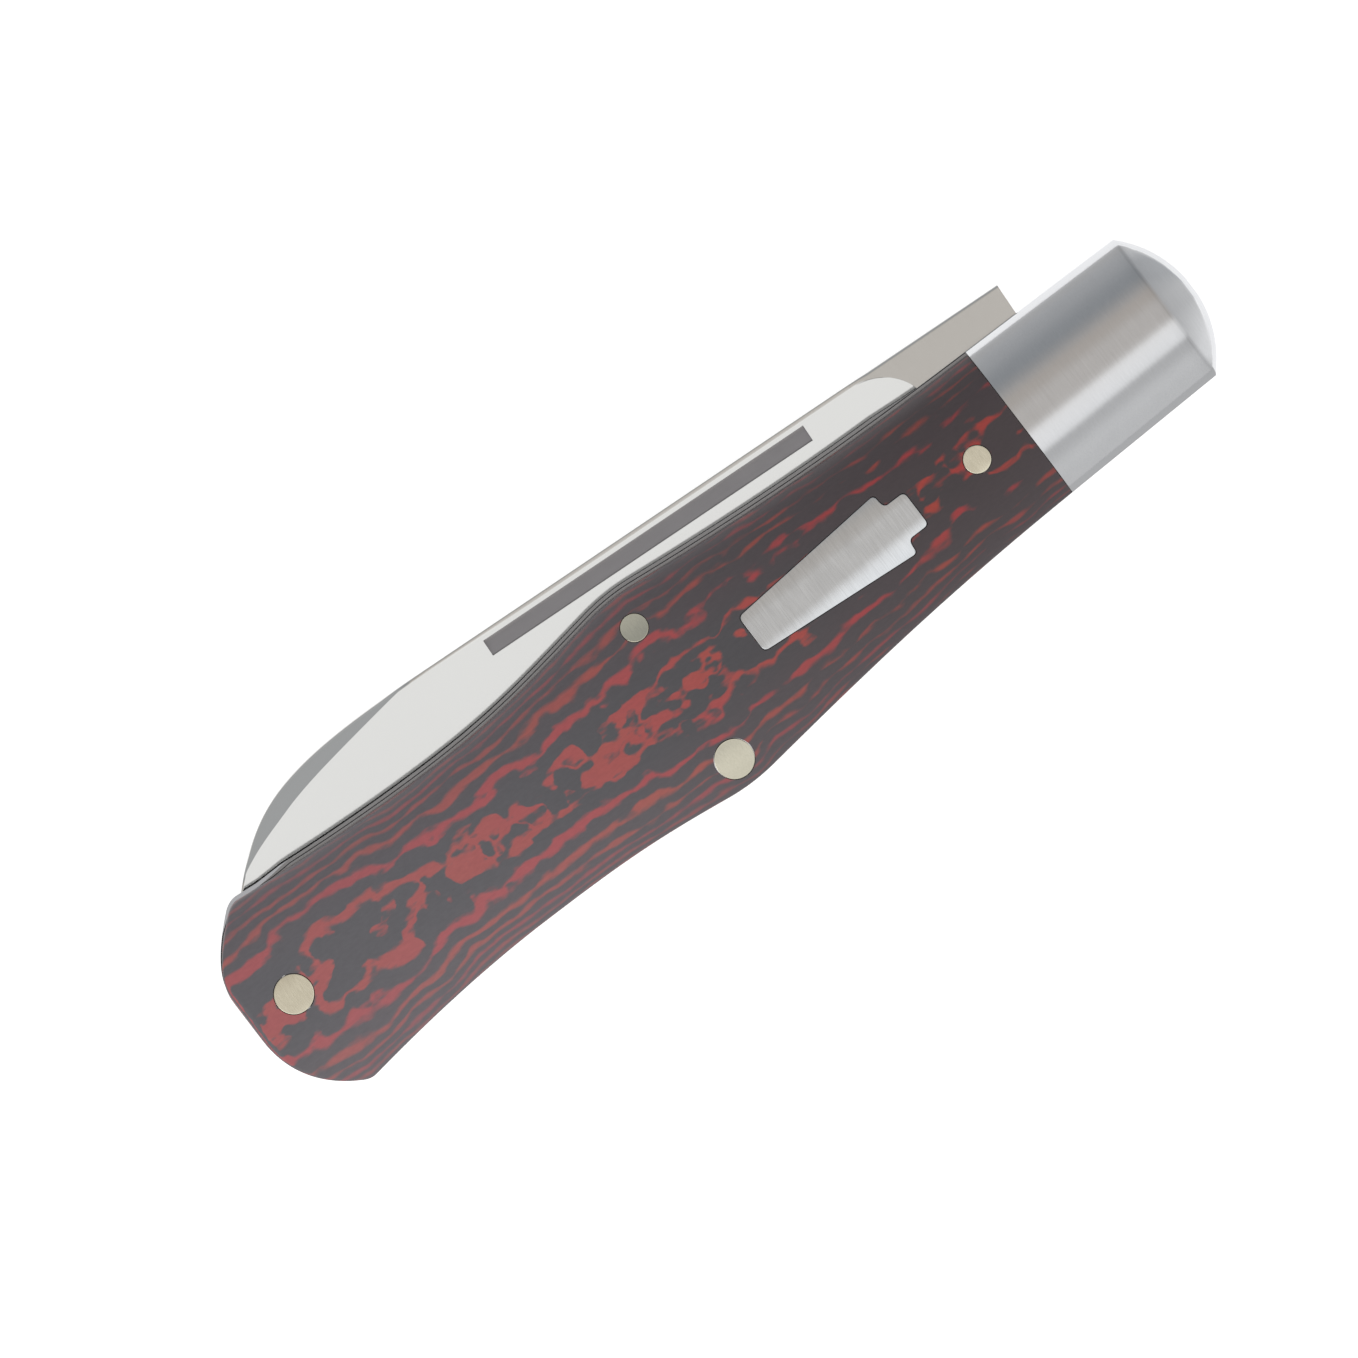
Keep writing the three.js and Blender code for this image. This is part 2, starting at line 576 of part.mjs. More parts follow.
const knife = new THREE.Group();
const handle = new THREE.Group();
knife.add(handle);
for (const [face, side] of [["front", 1], ["rear", -1]]) {
  handle.add(
    part(`${face}_liner`, liner(side), satinSteel),
    part(`${face}_bolster`, bolster(side), satinSteel),
    part(`${face}_cover`, cover(side), redLaminate),
    part(`${face}_cover_middle_pin`, sidePin("middle", side), nickelSilver),
    part(`${face}_cover_forward_pin`, sidePin("forward", side), nickelSilver),
    part(`${face}_bolster_upper_rivet`, sidePin("bladeSideRivet", side), satinSteel),
    part(`${face}_bolster_lower_rivet`, sidePin("backSideRivet", side), satinSteel),
    part(`${face}_pivot_washer`, washer(side), bronze),
  );
}
handle.add(
  part("shield", shieldPlate(), satinSteel),
  part("backspring", backspring(), springSteel),
  part("butt_pin", throughPin("butt"), nickelSilver),
  part("spring_pin", throughPin("spring"), nickelSilver),
  part("pivot_pin", throughPin("pivot"), satinSteel),
  part("pivot_bushing", bushing(), bronze),
);

const bladeMesh = part("blade", blade(), bladeSteel);
bladeMesh.position.set(pivotX, pivotY, 0);
bladeMesh.rotation.z = closedAngle;
handle.add(bladeMesh);

// The knife lies on its rear face, with the middle of its underside at the origin.
const bounds = new THREE.Box3().setFromObject(knife, true);
const middle = bounds.getCenter(new THREE.Vector3());
handle.position.set(-middle.x, -middle.y, -bounds.min.z);

export default knife;
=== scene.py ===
"""The looks of a folding pocket knife, and the plain studio that it lies in.

The packed frame says where everything is. In its axes x runs along the knife from the butt to the nose, y
points out of the side that the blade folds into, and z points up, out of the front, which carries the
shield. The shape functions below work in the handle's own axes: x is 0 at the butt, y is 0 on the
handle's middle line, and z is 0 on the middle plane of the blade. Lengths are in metres.
"""

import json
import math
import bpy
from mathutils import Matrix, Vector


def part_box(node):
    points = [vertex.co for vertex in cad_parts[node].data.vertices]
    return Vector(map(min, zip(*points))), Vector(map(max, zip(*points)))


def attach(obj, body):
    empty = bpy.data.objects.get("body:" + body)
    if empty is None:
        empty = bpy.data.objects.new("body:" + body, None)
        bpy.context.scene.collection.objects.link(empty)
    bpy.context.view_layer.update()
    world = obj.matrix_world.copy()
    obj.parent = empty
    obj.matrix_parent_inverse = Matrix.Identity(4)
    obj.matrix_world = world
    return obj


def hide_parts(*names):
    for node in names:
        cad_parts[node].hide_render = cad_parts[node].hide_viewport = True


bl_info = {
    "name": "Folding Pocket Knife",
    "version": (1, 0, 0),
    "blender": (4, 5, 0),
    "location": "View3D > Sidebar > Knife",
    "description": "Makes the visible pieces of a one-blade pocket knife, their finishes and a plain studio",
    "category": "Add Mesh",
}

import bpy
import numpy as np
from bpy.props import FloatProperty, FloatVectorProperty, PointerProperty

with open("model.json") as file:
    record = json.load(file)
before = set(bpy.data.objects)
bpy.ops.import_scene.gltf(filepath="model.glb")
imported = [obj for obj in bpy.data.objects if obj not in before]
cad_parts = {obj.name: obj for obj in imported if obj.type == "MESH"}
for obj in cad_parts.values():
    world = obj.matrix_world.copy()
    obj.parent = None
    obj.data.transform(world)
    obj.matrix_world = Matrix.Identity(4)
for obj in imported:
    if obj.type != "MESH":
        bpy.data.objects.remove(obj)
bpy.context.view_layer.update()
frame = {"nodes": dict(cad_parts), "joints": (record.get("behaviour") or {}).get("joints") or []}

MM = 0.001

# Where the handle's own axes lie in the frame: in them, the lowest corner of the back edge has this
# height.
LOWEST_EDGE = -10.24 * MM
LINER_LOW, LINER_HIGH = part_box("front_liner")
REAR_LINER_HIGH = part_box("rear_liner")[1]
ORIGIN = np.array([LINER_LOW.x, LINER_LOW.y - LOWEST_EDGE, (LINER_LOW.z + REAR_LINER_HIGH.z) / 2])
HANDLE_LENGTH = LINER_HIGH.x - LINER_LOW.x
JOINT_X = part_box("front_bolster")[0].x - ORIGIN[0]
LINER_INNER = LINER_LOW.z - ORIGIN[2]
LINER_OUTER = LINER_HIGH.z - ORIGIN[2]
CROWN_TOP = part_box("front_bolster")[1].z - ORIGIN[2]
PIVOT = np.array(frame["joints"][0]["pos_m"]) - ORIGIN
BLADE_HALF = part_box("blade")[1].z - ORIGIN[2]


# Settings that a user would change


def linear(code):
    """The linear colour of an sRGB hex value."""
    shares = [int(code[i : i + 2], 16) / 255 for i in (1, 3, 5)]
    return [s / 12.92 if s <= 0.04045 else ((s + 0.055) / 1.055) ** 2.4 for s in shares]


def number(name, about, *values, **options):
    """A setting that holds one number, or a row of them."""
    if len(values) == 1:
        return FloatProperty(name=name, description=about, default=values[0], **options)
    return FloatVectorProperty(name=name, description=about, default=values, size=len(values), **options)


def length(name, about, *millimetres):
    """A setting given in millimetres and kept in metres."""
    return number(name, about, *(value * MM for value in millimetres), unit="LENGTH", precision=5)


def colour(name, about, code):
    """A colour setting, given as an sRGB hex value."""
    return number(name, about, *linear(code), subtype="COLOR", min=0, max=1)


class KnifeHandleShape(bpy.types.PropertyGroup):
    """The outline and the crown of the handle."""

    nose_radius: length("Nose radius", "Round end of the bolsters", 10)
    nose_flat: length("Nose flat", "Half height of the flat at the very end", 0.9)
    marks: length("Waist and swell", "From the butt to the narrowest and the widest place", 25, 45.6)
    swell_round: length("Swell rounding", "Half length of the rounded top of the swell", 2.4)
    corners: length("Corners", "From the butt to its corner on the blade's side and the back", 4.75, 5.3)
    soft_corners: length("Soft corners", "How far the corners at the butt are rounded off", 0.8, 0.4)
    blade_side: length("Blade side", "Heights at corner, waist, swell and joint", 8.9, 7.72, 9.78, 7.93)
    blade_slopes: number("Blade side slopes", "Up to the swell, down from it, along", 0.155, -0.106, -0.004)
    blade_butt: length("Blade side butt", "Flat, then two pulls as x and y", 2, 0, 3.6, 0.6, 5.4)
    back: length("Back", "Heights at corner, waist, swell and joint", -10.24, -8.6, -9.88, -6.87)
    back_slopes: number("Back slopes", "Up to the swell, down from it, along", -0.139, 0.128, 0.031)
    back_butt: length("Back butt", "Flat, then two pulls as x and y", -2, 0, -4.7, 1, -8)
    crown_land: number("Crown land", "Share of the half width that is flat", 0.11, min=0, max=1,
                       subtype="FACTOR")
    crown_fall: length("Crown fall", "Slow fall to the edge, and further fall of the shoulders", 0.9, 1.3)
    shoulder_power: number("Shoulder power", "How far out the shoulders begin", 6, min=2)
    nose_fall: length("Nose fall", "Fall of the sloped face at the nose", 1.9)
    butt_fall: length("Butt fall", "Fall and length of the rounding at the butt", 0.5, 0.7)
    reveal: length("Reveal", "Liner left bare beside the covers", 0.35)
    lip: length("Lip", "How far the liners stand out past their groove, from where, to where, and the runs "
                "in which it comes and goes", 0.24, 7.5, 76, 2.5, 4)
    worn: length("Worn edge", "How far pockets have rounded the liners by the blade's tip, where, and its "
                 "reach", 0.34, 6.4, 4.4)
    edge_round: length("Edge rounding", "Radius that polishing leaves on the outer edges", 0.2)
    nose_rim: length("Nose rim", "Radius of the outer edge of the nose", 0.6)
    joint_gap: length("Joint gap", "Between cover and bolster", 0.06)
    pin_gap: length("Pin gap", "Round the pins and the shield", 0.05)
    pin_rim: length("Pin rim", "Radius that sanding leaves on the rims of the pins", 0.04)
    sink: length("Sink", "Pins and shield lie this much lower, where the harder metal was ground", 0.02)
    rivet_sink: length("Rivet sink", "The rivets of the bolsters lie this much lower, so they don't show",
                       0.06)
    chamfer: length("Chamfer", "Broken edge of the plates", 0.03)
    shield_size: length("Shield", "Lengths of taper and tab, and half widths: narrow end, wide end, tab",
                        15.15, 2.17, 1.8, 3.04, 1.71)
    shield_to_pin: length("Shield to pin", "From its tab to the pin before it", 6.5)
    shield_corner: length("Shield corner", "Rounding of its corners", 0.5)
    shield_depth: length("Shield depth", "How deep it is let in", 0.9)
    shield_round: length("Shield edge", "Radius that sanding leaves on its edge", 0.04)


class KnifeBladeShape(bpy.types.PropertyGroup):
    """The blade in its own axes: the pivot is 0, x runs to the point and y to the edge."""

    offsets: length("Offsets", "Pivot to the spine and to the edge", 8.534, 5.2)
    closed_tilt: number("Closed tilt", "How far the closed spine rises to the butt", math.radians(3.45),
                        subtype="ANGLE")
    tip: length("Tip", "Butt to the tip, and pivot line to the tip", 3.2, 1.43)
    tang: length("Tang", "Pivot to its flats, rounding between them, and shoulder", 4.9, 2.2, 4.84)
    kick: length("Kick", "Pivot to the end of the kick, and to the heel", 8.4, 11.4)
    choil: length("Choil", "Radius of the notch behind the heel", 0.9)
    drop: length("Drop", "The part of the spine that falls to the tip", 24.6)
    belly: length("Belly", "The part of the edge that rises to the tip", 38)
    plunge: length("Plunge", "Pivot to the plunge line, its reach and its height", 14.6, 5.4, 4)
    spine_land: length("Spine", "Strip left full thickness under the spine, and its rounding", 0.35, 0.25)
    edge_bevel: length("Edge bevel", "Width, and half thickness behind it", 0.7, 0.22)
    swedge: length("False edge", "Length and width of the false edge, and least half thickness on its back",
                   24.3, 1.65, 0.1)
    swedge_tilt: number("False edge tilt", "How steeply the false edge is ground", math.radians(20),
                        subtype="ANGLE")
    nick: length("Nail pull", "Start, end, from the spine, width, depth and far depth", 24.9, 57.2, 0.71,
                 1.52, 0.5, 0.24)
    pivot_hole: length("Pivot hole", "Radius of the hole for the bushing", 2.45)


class KnifeSpringShape(bpy.types.PropertyGroup):
    """The backspring in the handle's axes."""

    waist: length("Waist", "Height of the arm where it bends, and pivot to it", 3.2, 24.5)
    pad: length("Pad", "Pivot to the back of the pad, and its gap to the tang", 8.6, 0.05)
    wall: length("Wall", "Steel between the spring pin and the inner edge", 1.7)
    butt: length("Butt", "Height, length and slope of the block round the butt pin", 2.3, 8.2, 5)


class KnifeFinish(bpy.types.PropertyGroup):
    """Colours and grain of the finishes."""

    blade_steel: colour("Blade steel", "Satin stainless steel", "#d8d8d6")
    # Darker than the other steel: painted shade, used on the liners' outer face
    liner_steel: colour("Liner steel", "Satin stainless steel", "#929294")
    shield_steel: colour("Shield steel", "Satin stainless steel", "#d2d5d8")
    bolster_steel: colour("Bolster steel", "Satin stainless steel", "#cfd0d2")
    spring_steel: colour("Spring steel", "Satin spring steel", "#b9b9ba")
    # Darker than the blade steel: partly the duller milled steel, partly painted shade of the recess
    nail_pull: colour("Nail pull", "Milled floor of the nail pull", "#adaaac")
    nickel_silver: colour("Nickel silver", "Pins", "#e2ddc9")
    bronze: colour("Bronze", "Bushing and washers", "#b08d57")
    black_layer: colour("Black layers", "Black sheets of the laminate", "#3a3639")
    red_layer: colour("Red layers", "Crimson sheets of the laminate", "#ae2b2f")
    rust_layer: colour("Rust layers", "Sheets that lean to orange", "#ac3e28")
    # A painted sheen: pale colour mixed into the laminate, strongest at the butt, where the buffed covers
    # catch light
    painted_sheen: colour("Haze", "Handling marks, strongest at the butt", "#c8c8d0")
    sheet_count: number("Sheets", "Pairs of sheets in the first millimetre", 3.7, min=0)
    sheet_power: number("Sheet power", "Below 1, deeper sheets are thicker", 0.62, min=0.1, max=1)


class KnifeStage(bpy.types.PropertyGroup):
    """Camera, floor and lamp."""

    aim: length("Aim", "Point of the frame that the picture is centred on", -4.03, -1.45, 8)
    width: length("Picture width", "Width of the picture at that point", 113.7)
    turn: number("Turn", "Turn of the picture", math.radians(-37.4), subtype="ANGLE")
    lens: number("Lens", "Focal length in millimetres", 400, min=20)
    floor_width: length("Floor width", "Side of the square floor", 3000)
    lamp_place: length("Lamp place", "Middle of the soft lamp", -300, -150, 300)
    lamp_width: length("Lamp width", "Side of the soft lamp", 350)
    floor_glow: number("Floor glow", "What makes the floor white to the camera", 0.7, min=0)
    lamp_power: number("Lamp power", "Power of the soft lamp", 0.4, unit="POWER")


# Shape functions


# How full the curves of the long edges are: how far each follows its end slope, as a share of its run,
# and how much of the fall from the corner to the waist its first third takes up
CLIMB_PULL, FALL_PULL, WAIST_FALL = 0.4, 0.38, 0.6

# The curves of the drop and the belly leave the straight line at the pull and come to the tip from the
# bend, both as shares of their length. Last is the share of their height that the bend has reached.
DROP_CURVE = (0.62, 0.74, 0.18)
BELLY_CURVE = (0.5, 0.8, 0.2)

# Shares of the false edge's length: it widens until the first, and narrows from the second to the third
SWEDGE_SHARES = (0.58, 0.6, 0.87)


def mix(a, b, t):
    """The straight blend that is a where t is 0 and b where t is 1."""
    return a + (b - a) * t


def bezier(steps, *controls):
    """Points of a Bezier curve: every control point is weighed by its Bernstein polynomial."""
    degree = len(controls) - 1
    t = np.linspace(0, 1, steps + 1)[:, None]
    weights = [math.comb(degree, i) * t**i * (1 - t) ** (degree - i) for i in range(degree + 1)]
    return sum(weight * np.array(point) for weight, point in zip(weights, controls))


def joined(curves):
    """Curves that follow each other, as one path without their shared points."""
    return np.concatenate([curves[0], *(curve[1:] for curve in curves[1:])])


def softened(first, second, radius):
    """Two curves that meet in a corner: their points nearer to it than the radius make way for a Bezier
    curve that is pulled to it."""
    corner = second[0]
    first, second = (curve[np.linalg.norm(curve - corner, axis=1) > radius] for curve in (first, second))
    return joined([first, bezier(8, first[-1], corner, second[0]), second])


def long_edge(shape, corner_x, heights, slopes, butt, soft):
    """One long edge of the handle from the flat of the butt to the nose: a Bezier curve round the corner
    of the butt, one down to the waist, one up to the swell, a parabola over it, one down to the joint,
    and a line."""
    corner, waist, swell, joint = heights
    rise, fall, run = slopes
    half = shape.swell_round
    waist_x, swell_x = shape.marks
    start_x, end_x = swell_x - half, swell_x + half
    start, end = swell - rise * half / 2, swell + fall * half / 2
    pull = (waist_x - corner_x) / 3
    climb, drop = (start_x - waist_x) * CLIMB_PULL, (JOINT_X - end_x) * FALL_PULL
    nose = joint + run * (HANDLE_LENGTH - JOINT_X)
    round_butt = bezier(48, (0, butt[0]), butt[1:3], butt[3:5], (corner_x, corner))
    to_waist = bezier(72, (corner_x, corner), (corner_x + pull, mix(corner, waist, WAIST_FALL)),
                      (waist_x - pull, waist), (waist_x, waist))
    return joined([
        softened(round_butt, to_waist, soft),
        bezier(24, (waist_x, waist), (waist_x + climb, waist), (start_x - climb, start - rise * climb),
               (start_x, start)),
        bezier(12, (start_x, start), (swell_x, swell + (rise - fall) * half / 4), (end_x, end)),
        bezier(24, (end_x, end), (end_x + drop, end + fall * drop), (JOINT_X - drop, joint - run * drop),
               (JOINT_X, joint)),
        np.array([(JOINT_X, joint), (HANDLE_LENGTH, nose)]),
    ])


class Outline:
    """The handle seen from the front: two long edges, cut by the arc of the nose."""

    def __init__(self, shape):
        """The arc of the nose has its centre on the middle line, so far back that it comes to the very end
        at half the height of the flat. It begins where it meets the long edges."""
        self.shape = shape
        corners, soft = shape.corners, shape.soft_corners
        self.blade_side = long_edge(shape, corners[0], shape.blade_side, shape.blade_slopes,
                                    list(shape.blade_butt), soft[0])
        self.back = long_edge(shape, corners[1], shape.back, shape.back_slopes,
                              list(shape.back_butt), soft[1])
        high, low = self.blade_side[-1, 1], self.back[-1, 1]
        radius = shape.nose_radius
        self.middle = (high + low) / 2
        self.centre = HANDLE_LENGTH - math.sqrt(radius**2 - shape.nose_flat**2)
        self.nose = self.centre + math.sqrt(radius**2 - ((high - low) / 2) ** 2)
        self.last_corner = max(shape.corners)

    def blade_side_at(self, x):
        """Height of the edge on the blade's side, along straight lines between its points."""
        return np.interp(x, *self.blade_side.T)

    def back_at(self, x):
        """Height of the back edge, along straight lines between its points."""
        return np.interp(x, *self.back.T)

    def reach(self, x):
        """Half the height of the nose's arc, past where it begins."""
        past = np.clip(x, self.nose, HANDLE_LENGTH) - self.centre
        return np.where(x > self.nose, np.sqrt(self.shape.nose_radius**2 - past**2), 1)

    def top(self, x):
        """Height of the upper edge: the blade's side, or the nose's arc where that is lower."""
        return np.minimum(self.blade_side_at(x), self.middle + self.reach(x))

    def bottom(self, x):
        """Height of the lower edge: the back, or the nose's arc where that is higher."""
        return np.maximum(self.back_at(x), self.middle - self.reach(x))

    def places(self, start, end, apart, near=()):
        """Places along the handle: even steps, the points of both edges, the nose, and the given
        distances from both ends."""
        marks = np.concatenate([
            np.arange(0, HANDLE_LENGTH, apart),
            self.blade_side[:, 0],
            self.back[:, 0],
            [x for gap in near for x in (gap, HANDLE_LENGTH - gap)],
            mix(self.nose, HANDLE_LENGTH, np.sin(np.linspace(0, math.pi / 2, 24))),
        ])
        # Places nearer to each other than this count as one
        close = 0.005 * MM
        marks = np.sort(marks[(marks > start) & (marks < end - close)])
        return np.concatenate([[start], marks[np.diff(marks, prepend=start) > close], [end]])

    def height(self, x, y, reveal):
        """Height of the crown over the middle plane: a flat strip, then a fall by the square of the share
        of the half width beyond it and one by a higher power, less the slope of the nose and the rounded
        butt."""
        shape = self.shape
        along = np.clip(x, self.last_corner, self.nose)
        high, low = self.blade_side_at(along) - reveal, self.back_at(along)
        part = np.minimum(1, np.abs(y - (high + low) / 2) / ((high - low) / 2))
        outward = np.maximum(0, (part - shape.crown_land) / (1 - shape.crown_land))
        slow, fast = shape.crown_fall
        # How softly the slope of the nose begins, and how much it bows
        soft_start, bow = 0.002, 0.2
        into_nose = (x - self.nose) / (HANDLE_LENGTH - self.nose)
        into_nose = (into_nose + np.sqrt(into_nose**2 + soft_start)) / 2
        into_nose *= 1 - bow + bow * into_nose
        fall, reach = shape.butt_fall
        into_butt = np.maximum(0, 1 - x / reach)
        crown = CROWN_TOP - slow * outward**2 - fast * outward**shape.shoulder_power
        return crown - shape.nose_fall * into_nose - fall * (1 - np.sqrt(1 - into_butt**2))


def distance_to(path, x, y):
    """Shortest distance from each point to a path of straight pieces."""
    start, run = path[:-1], np.diff(path, axis=0)
    points = np.stack([x.ravel(), y.ravel()], 1)[:, None]
    along = ((points - start) * run).sum(2) / np.maximum((run**2).sum(1), 1e-18)
    nearest = start + np.clip(along, 0, 1)[..., None] * run
    return np.sqrt(((points - nearest) ** 2).sum(2)).min(1).reshape(x.shape)


def rounding(distance, radius):
    """Drop of a quarter round edge, by the distance from it."""
    return radius - np.sqrt(np.maximum(0, radius**2 - np.maximum(0, radius - distance) ** 2))


# Meshes and objects

SHARP = math.radians(28)


def lofted(name, rings):
    """A closed body through rings of points: neighbouring rings are joined by faces of four sides, and
    one face fills the first ring and one the last. Rings run counter-clockwise, seen from where the next
    ones lie."""
    count, size = rings.shape[:2]
    corner = np.arange(count * size).reshape(count, size)
    here, ahead = corner[:-1], corner[1:]
    quads = np.stack([here, np.roll(here, -1, 1), np.roll(ahead, -1, 1), ahead], -1).reshape(-1, 4)
    faces = [*quads.tolist(), corner[0, ::-1].tolist(), corner[-1].tolist()]
    mesh = bpy.data.meshes.new(name)
    mesh.from_pydata((rings.reshape(-1, 3) + ORIGIN).tolist(), [], faces)
    return mesh


def at_height(points, z):
    """Plan points lifted to a height."""
    return np.insert(points, 2, z, axis=1)


def crowned(name, side, xs, low, high, height, base, radius, edge):
    """A body with a flat base and a crowned face. Each place along it has a ring: two base corners, and
    points across the face that crowd towards both edges. The face rounds off by the distance to the edge
    path."""
    crowd, across = np.array([0, 0.02, 0.07, 0.15, 0.26, 0.4, 0.56, 0.76]), np.linspace(0, 1, 44)
    radius = np.broadcast_to(radius, xs.shape)[:, None]
    # The points that crowd lie within this of each edge
    margin = np.minimum(1.4 * radius, (high - low)[:, None] * 0.2)
    low, high = low[:, None], high[:, None]
    y = np.concatenate([low + margin * crowd, mix(low + margin, high - margin, across),
                        high - margin * crowd[::-1]], 1)
    x = np.broadcast_to(xs[:, None], y.shape)
    z = height(x, y) - rounding(distance_to(edge, x, y), radius)
    x, y = (np.concatenate([a[:, :1], a, a[:, -1:]], 1) for a in (x, y))
    z = np.pad(z, ((0, 0), (1, 1)), constant_values=base)
    rings = np.stack([x, y, side * z], -1)
    return lofted(name, rings[:, ::-1] if side > 0 else rings)


def inset(plan, by):
    """A counter-clockwise plan with its points moved inwards, along the mean of the two neighbouring
    sides."""
    run = np.roll(plan, -1, 0) - plan
    turned = np.stack([run[:, 1], -run[:, 0]], 1) / np.linalg.norm(run, axis=1)[:, None]
    outward = turned + np.roll(turned, 1, 0)
    return plan - outward / np.linalg.norm(outward, axis=1)[:, None] * np.reshape(by, (-1, 1))


def plate(name, plan, inner, outer, chamfer, worn=0, steps=()):
    """A flat plate between two heights, with both rims chamfered, and its outer rim worn further point by
    point. Further steps of its outer face are pairs of a plan and how deep it lies."""
    up = math.copysign(1, outer - inner)
    # Wear reaches half as far again down the rim as it goes into the face
    stack = [(inset(plan, chamfer), inner), (plan, inner + up * chamfer),
             (plan, outer - up * (chamfer + 1.5 * worn)), (inset(plan, chamfer + worn), outer)]
    stack += [(points, outer - up * depth) for points, depth in steps]
    return lofted(name, np.stack([at_height(points, z) for points, z in stack[:: int(up)]]))


def circle(centre, radius, sides=72):
    """Points of a circle, counter-clockwise."""
    turn = np.linspace(0, 2 * math.pi, sides, endpoint=False)
    return np.stack([centre[0] + radius * np.cos(turn), centre[1] + radius * np.sin(turn)], 1)


def rod(name, centre, radius, low, high):
    """A plain round bar along z."""
    ring = circle(centre, radius)
    return lofted(name, np.stack([at_height(ring, z) for z in (low, high)]))


def place(mesh):
    """Puts a mesh into the scene as an object at the origin."""
    piece = bpy.data.objects.new(mesh.name, mesh)
    bpy.context.scene.collection.objects.link(piece)
    return piece


def cut(piece, meshes):
    """Takes bodies away from a piece by exact Boolean modifiers, and applies them."""
    cutters = [place(mesh) for mesh in meshes]
    for cutter in cutters:
        modifier = piece.modifiers.new("Cut", "BOOLEAN")
        modifier.operation = "DIFFERENCE"
        modifier.solver = "EXACT"
        modifier.object = cutter
    evaluated = piece.evaluated_get(bpy.context.evaluated_depsgraph_get())
    whole, result = piece.data, bpy.data.meshes.new_from_object(evaluated)
    piece.modifiers.clear()
    piece.data = result
    for mesh in (whole, *meshes):
        bpy.data.meshes.remove(mesh)


def dress(piece, body, node, material):
    """Finishes a piece: smooth shading with sharp edges past an angle, its material, and what it stands
    for."""
    piece.data.shade_smooth()
    piece.data.set_sharp_from_angle(angle=SHARP)
    piece.data.materials.clear()
    piece.data.materials.append(material)
    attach(piece, body)
    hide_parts(node)


def pin_place(name):
    """Middle and radius of a pin, from its node."""
    low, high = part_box(name)
    return np.array((low + high) / 2) - ORIGIN, (high.x - low.x) / 2


def pin_holes(names, gap):
    """Bars that cut the holes for pins."""
    places = [pin_place(name) for name in names]
    return [rod("Hole", middle, radius + gap, -2 * CROWN_TOP, 2 * CROWN_TOP) for middle, radius in places]


# Materials


# Along the handle as shares of its length: how much of the red sheet on the ridge is gone, which leaves
# black eyes
LAMINATE_EYES = ((0, 0.15), (0.05, 0.15), (0.085, 0.6), (0.155, 0.6), (0.185, 0.1), (0.43, 0.1), (0.465, 0.4),
                 (0.495, 0.1), (0.53, 0.45), (0.66, 0.45), (0.7, 0.1), (0.74, 0.1), (0.78, 0.5), (0.82, 0.45))


def fill(node, sockets):
    """Links or sets the sockets of a node."""
    for key, value in sockets.items():
        if isinstance(value, bpy.types.NodeSocket):
            node.id_data.links.new(value, node.inputs[key])
        else:
            node.inputs[key].default_value = value


def add(tree, kind, sockets=None, output=0, stops=(), **settings):
    """Adds a node with its settings and the stops of its colour ramp, links or sets its sockets, and
    gives one of its outputs."""
    made = tree.nodes.new("ShaderNode" + kind)
    for name, value in settings.items():
        setattr(made, name, value)
    if stops:
        ramp = made.color_ramp.elements
        ramp.remove(ramp[1])
    for index, (position, tint) in enumerate(stops):
        stop = ramp.new(position) if index else ramp[0]
        stop.position = position
        stop.color = (*tint, 1)
    fill(made, sockets or {})
    return made.outputs[output]


def new_material(name):
    """A material with its shader, and the place of each point on the object in millimetres."""
    material = bpy.data.materials.new(name)
    material.use_nodes = True
    tree = material.node_tree
    point = add(tree, "TexCoord", output="Object")
    millimetres = add(tree, "VectorMath", {0: point, "Scale": 1 / MM}, operation="SCALE")
    return material, tree, tree.nodes["Principled BSDF"], millimetres


def satin_metal(name, tint, roughness, line=0.06, run=3, tone=0.02, along_x=False, turn=0):
    """Metal finished on a fine abrasive belt: soft parallel scratches, along which tone and gloss change
    a little. They bend the light across themselves and leave it sharp along themselves, so bands of light
    stay crisp where they run across the scratches. Real ones are about 0.02 mm apart, too fine to show,
    and are drawn coarser."""
    material, tree, shader, point = new_material(name)
    across, along = 1 / line, 1 / run
    scale = (along, across, across) if along_x else (across, along, across)
    turned = add(tree, "VectorRotate", {"Vector": point, "Angle": turn}, rotation_type="Z_AXIS")
    stretched = add(tree, "Mapping", {"Vector": turned, "Scale": scale})
    scratches = add(tree, "TexNoise", {"Vector": stretched, "Scale": 1, "Detail": 2}, "Fac")
    clouds = add(tree, "TexNoise", {"Vector": point, "Scale": 0.6, "Detail": 2}, "Fac")
    both = add(tree, "Math", {0: clouds, 1: 0.4, 2: scratches}, operation="MULTIPLY_ADD")
    shade, gloss = (
        add(tree, "MapRange", {"Value": both, "From Min": 0.4, "From Max": 1,
                               "To Min": middle - reach, "To Max": middle + reach})
        for middle, reach in ((1, tone), (roughness, roughness * 0.15))
    )
    tinted = add(tree, "VectorMath", {0: tint, "Scale": shade}, operation="SCALE")
    # The scratches are three hundredths of their spacing deep
    relief = add(tree, "Bump", {"Height": scratches, "Strength": 1, "Distance": line * 0.03 * MM})
    fill(shader, {"Base Color": tinted, "Roughness": gloss, "Normal": relief, "Metallic": 1})
    return material


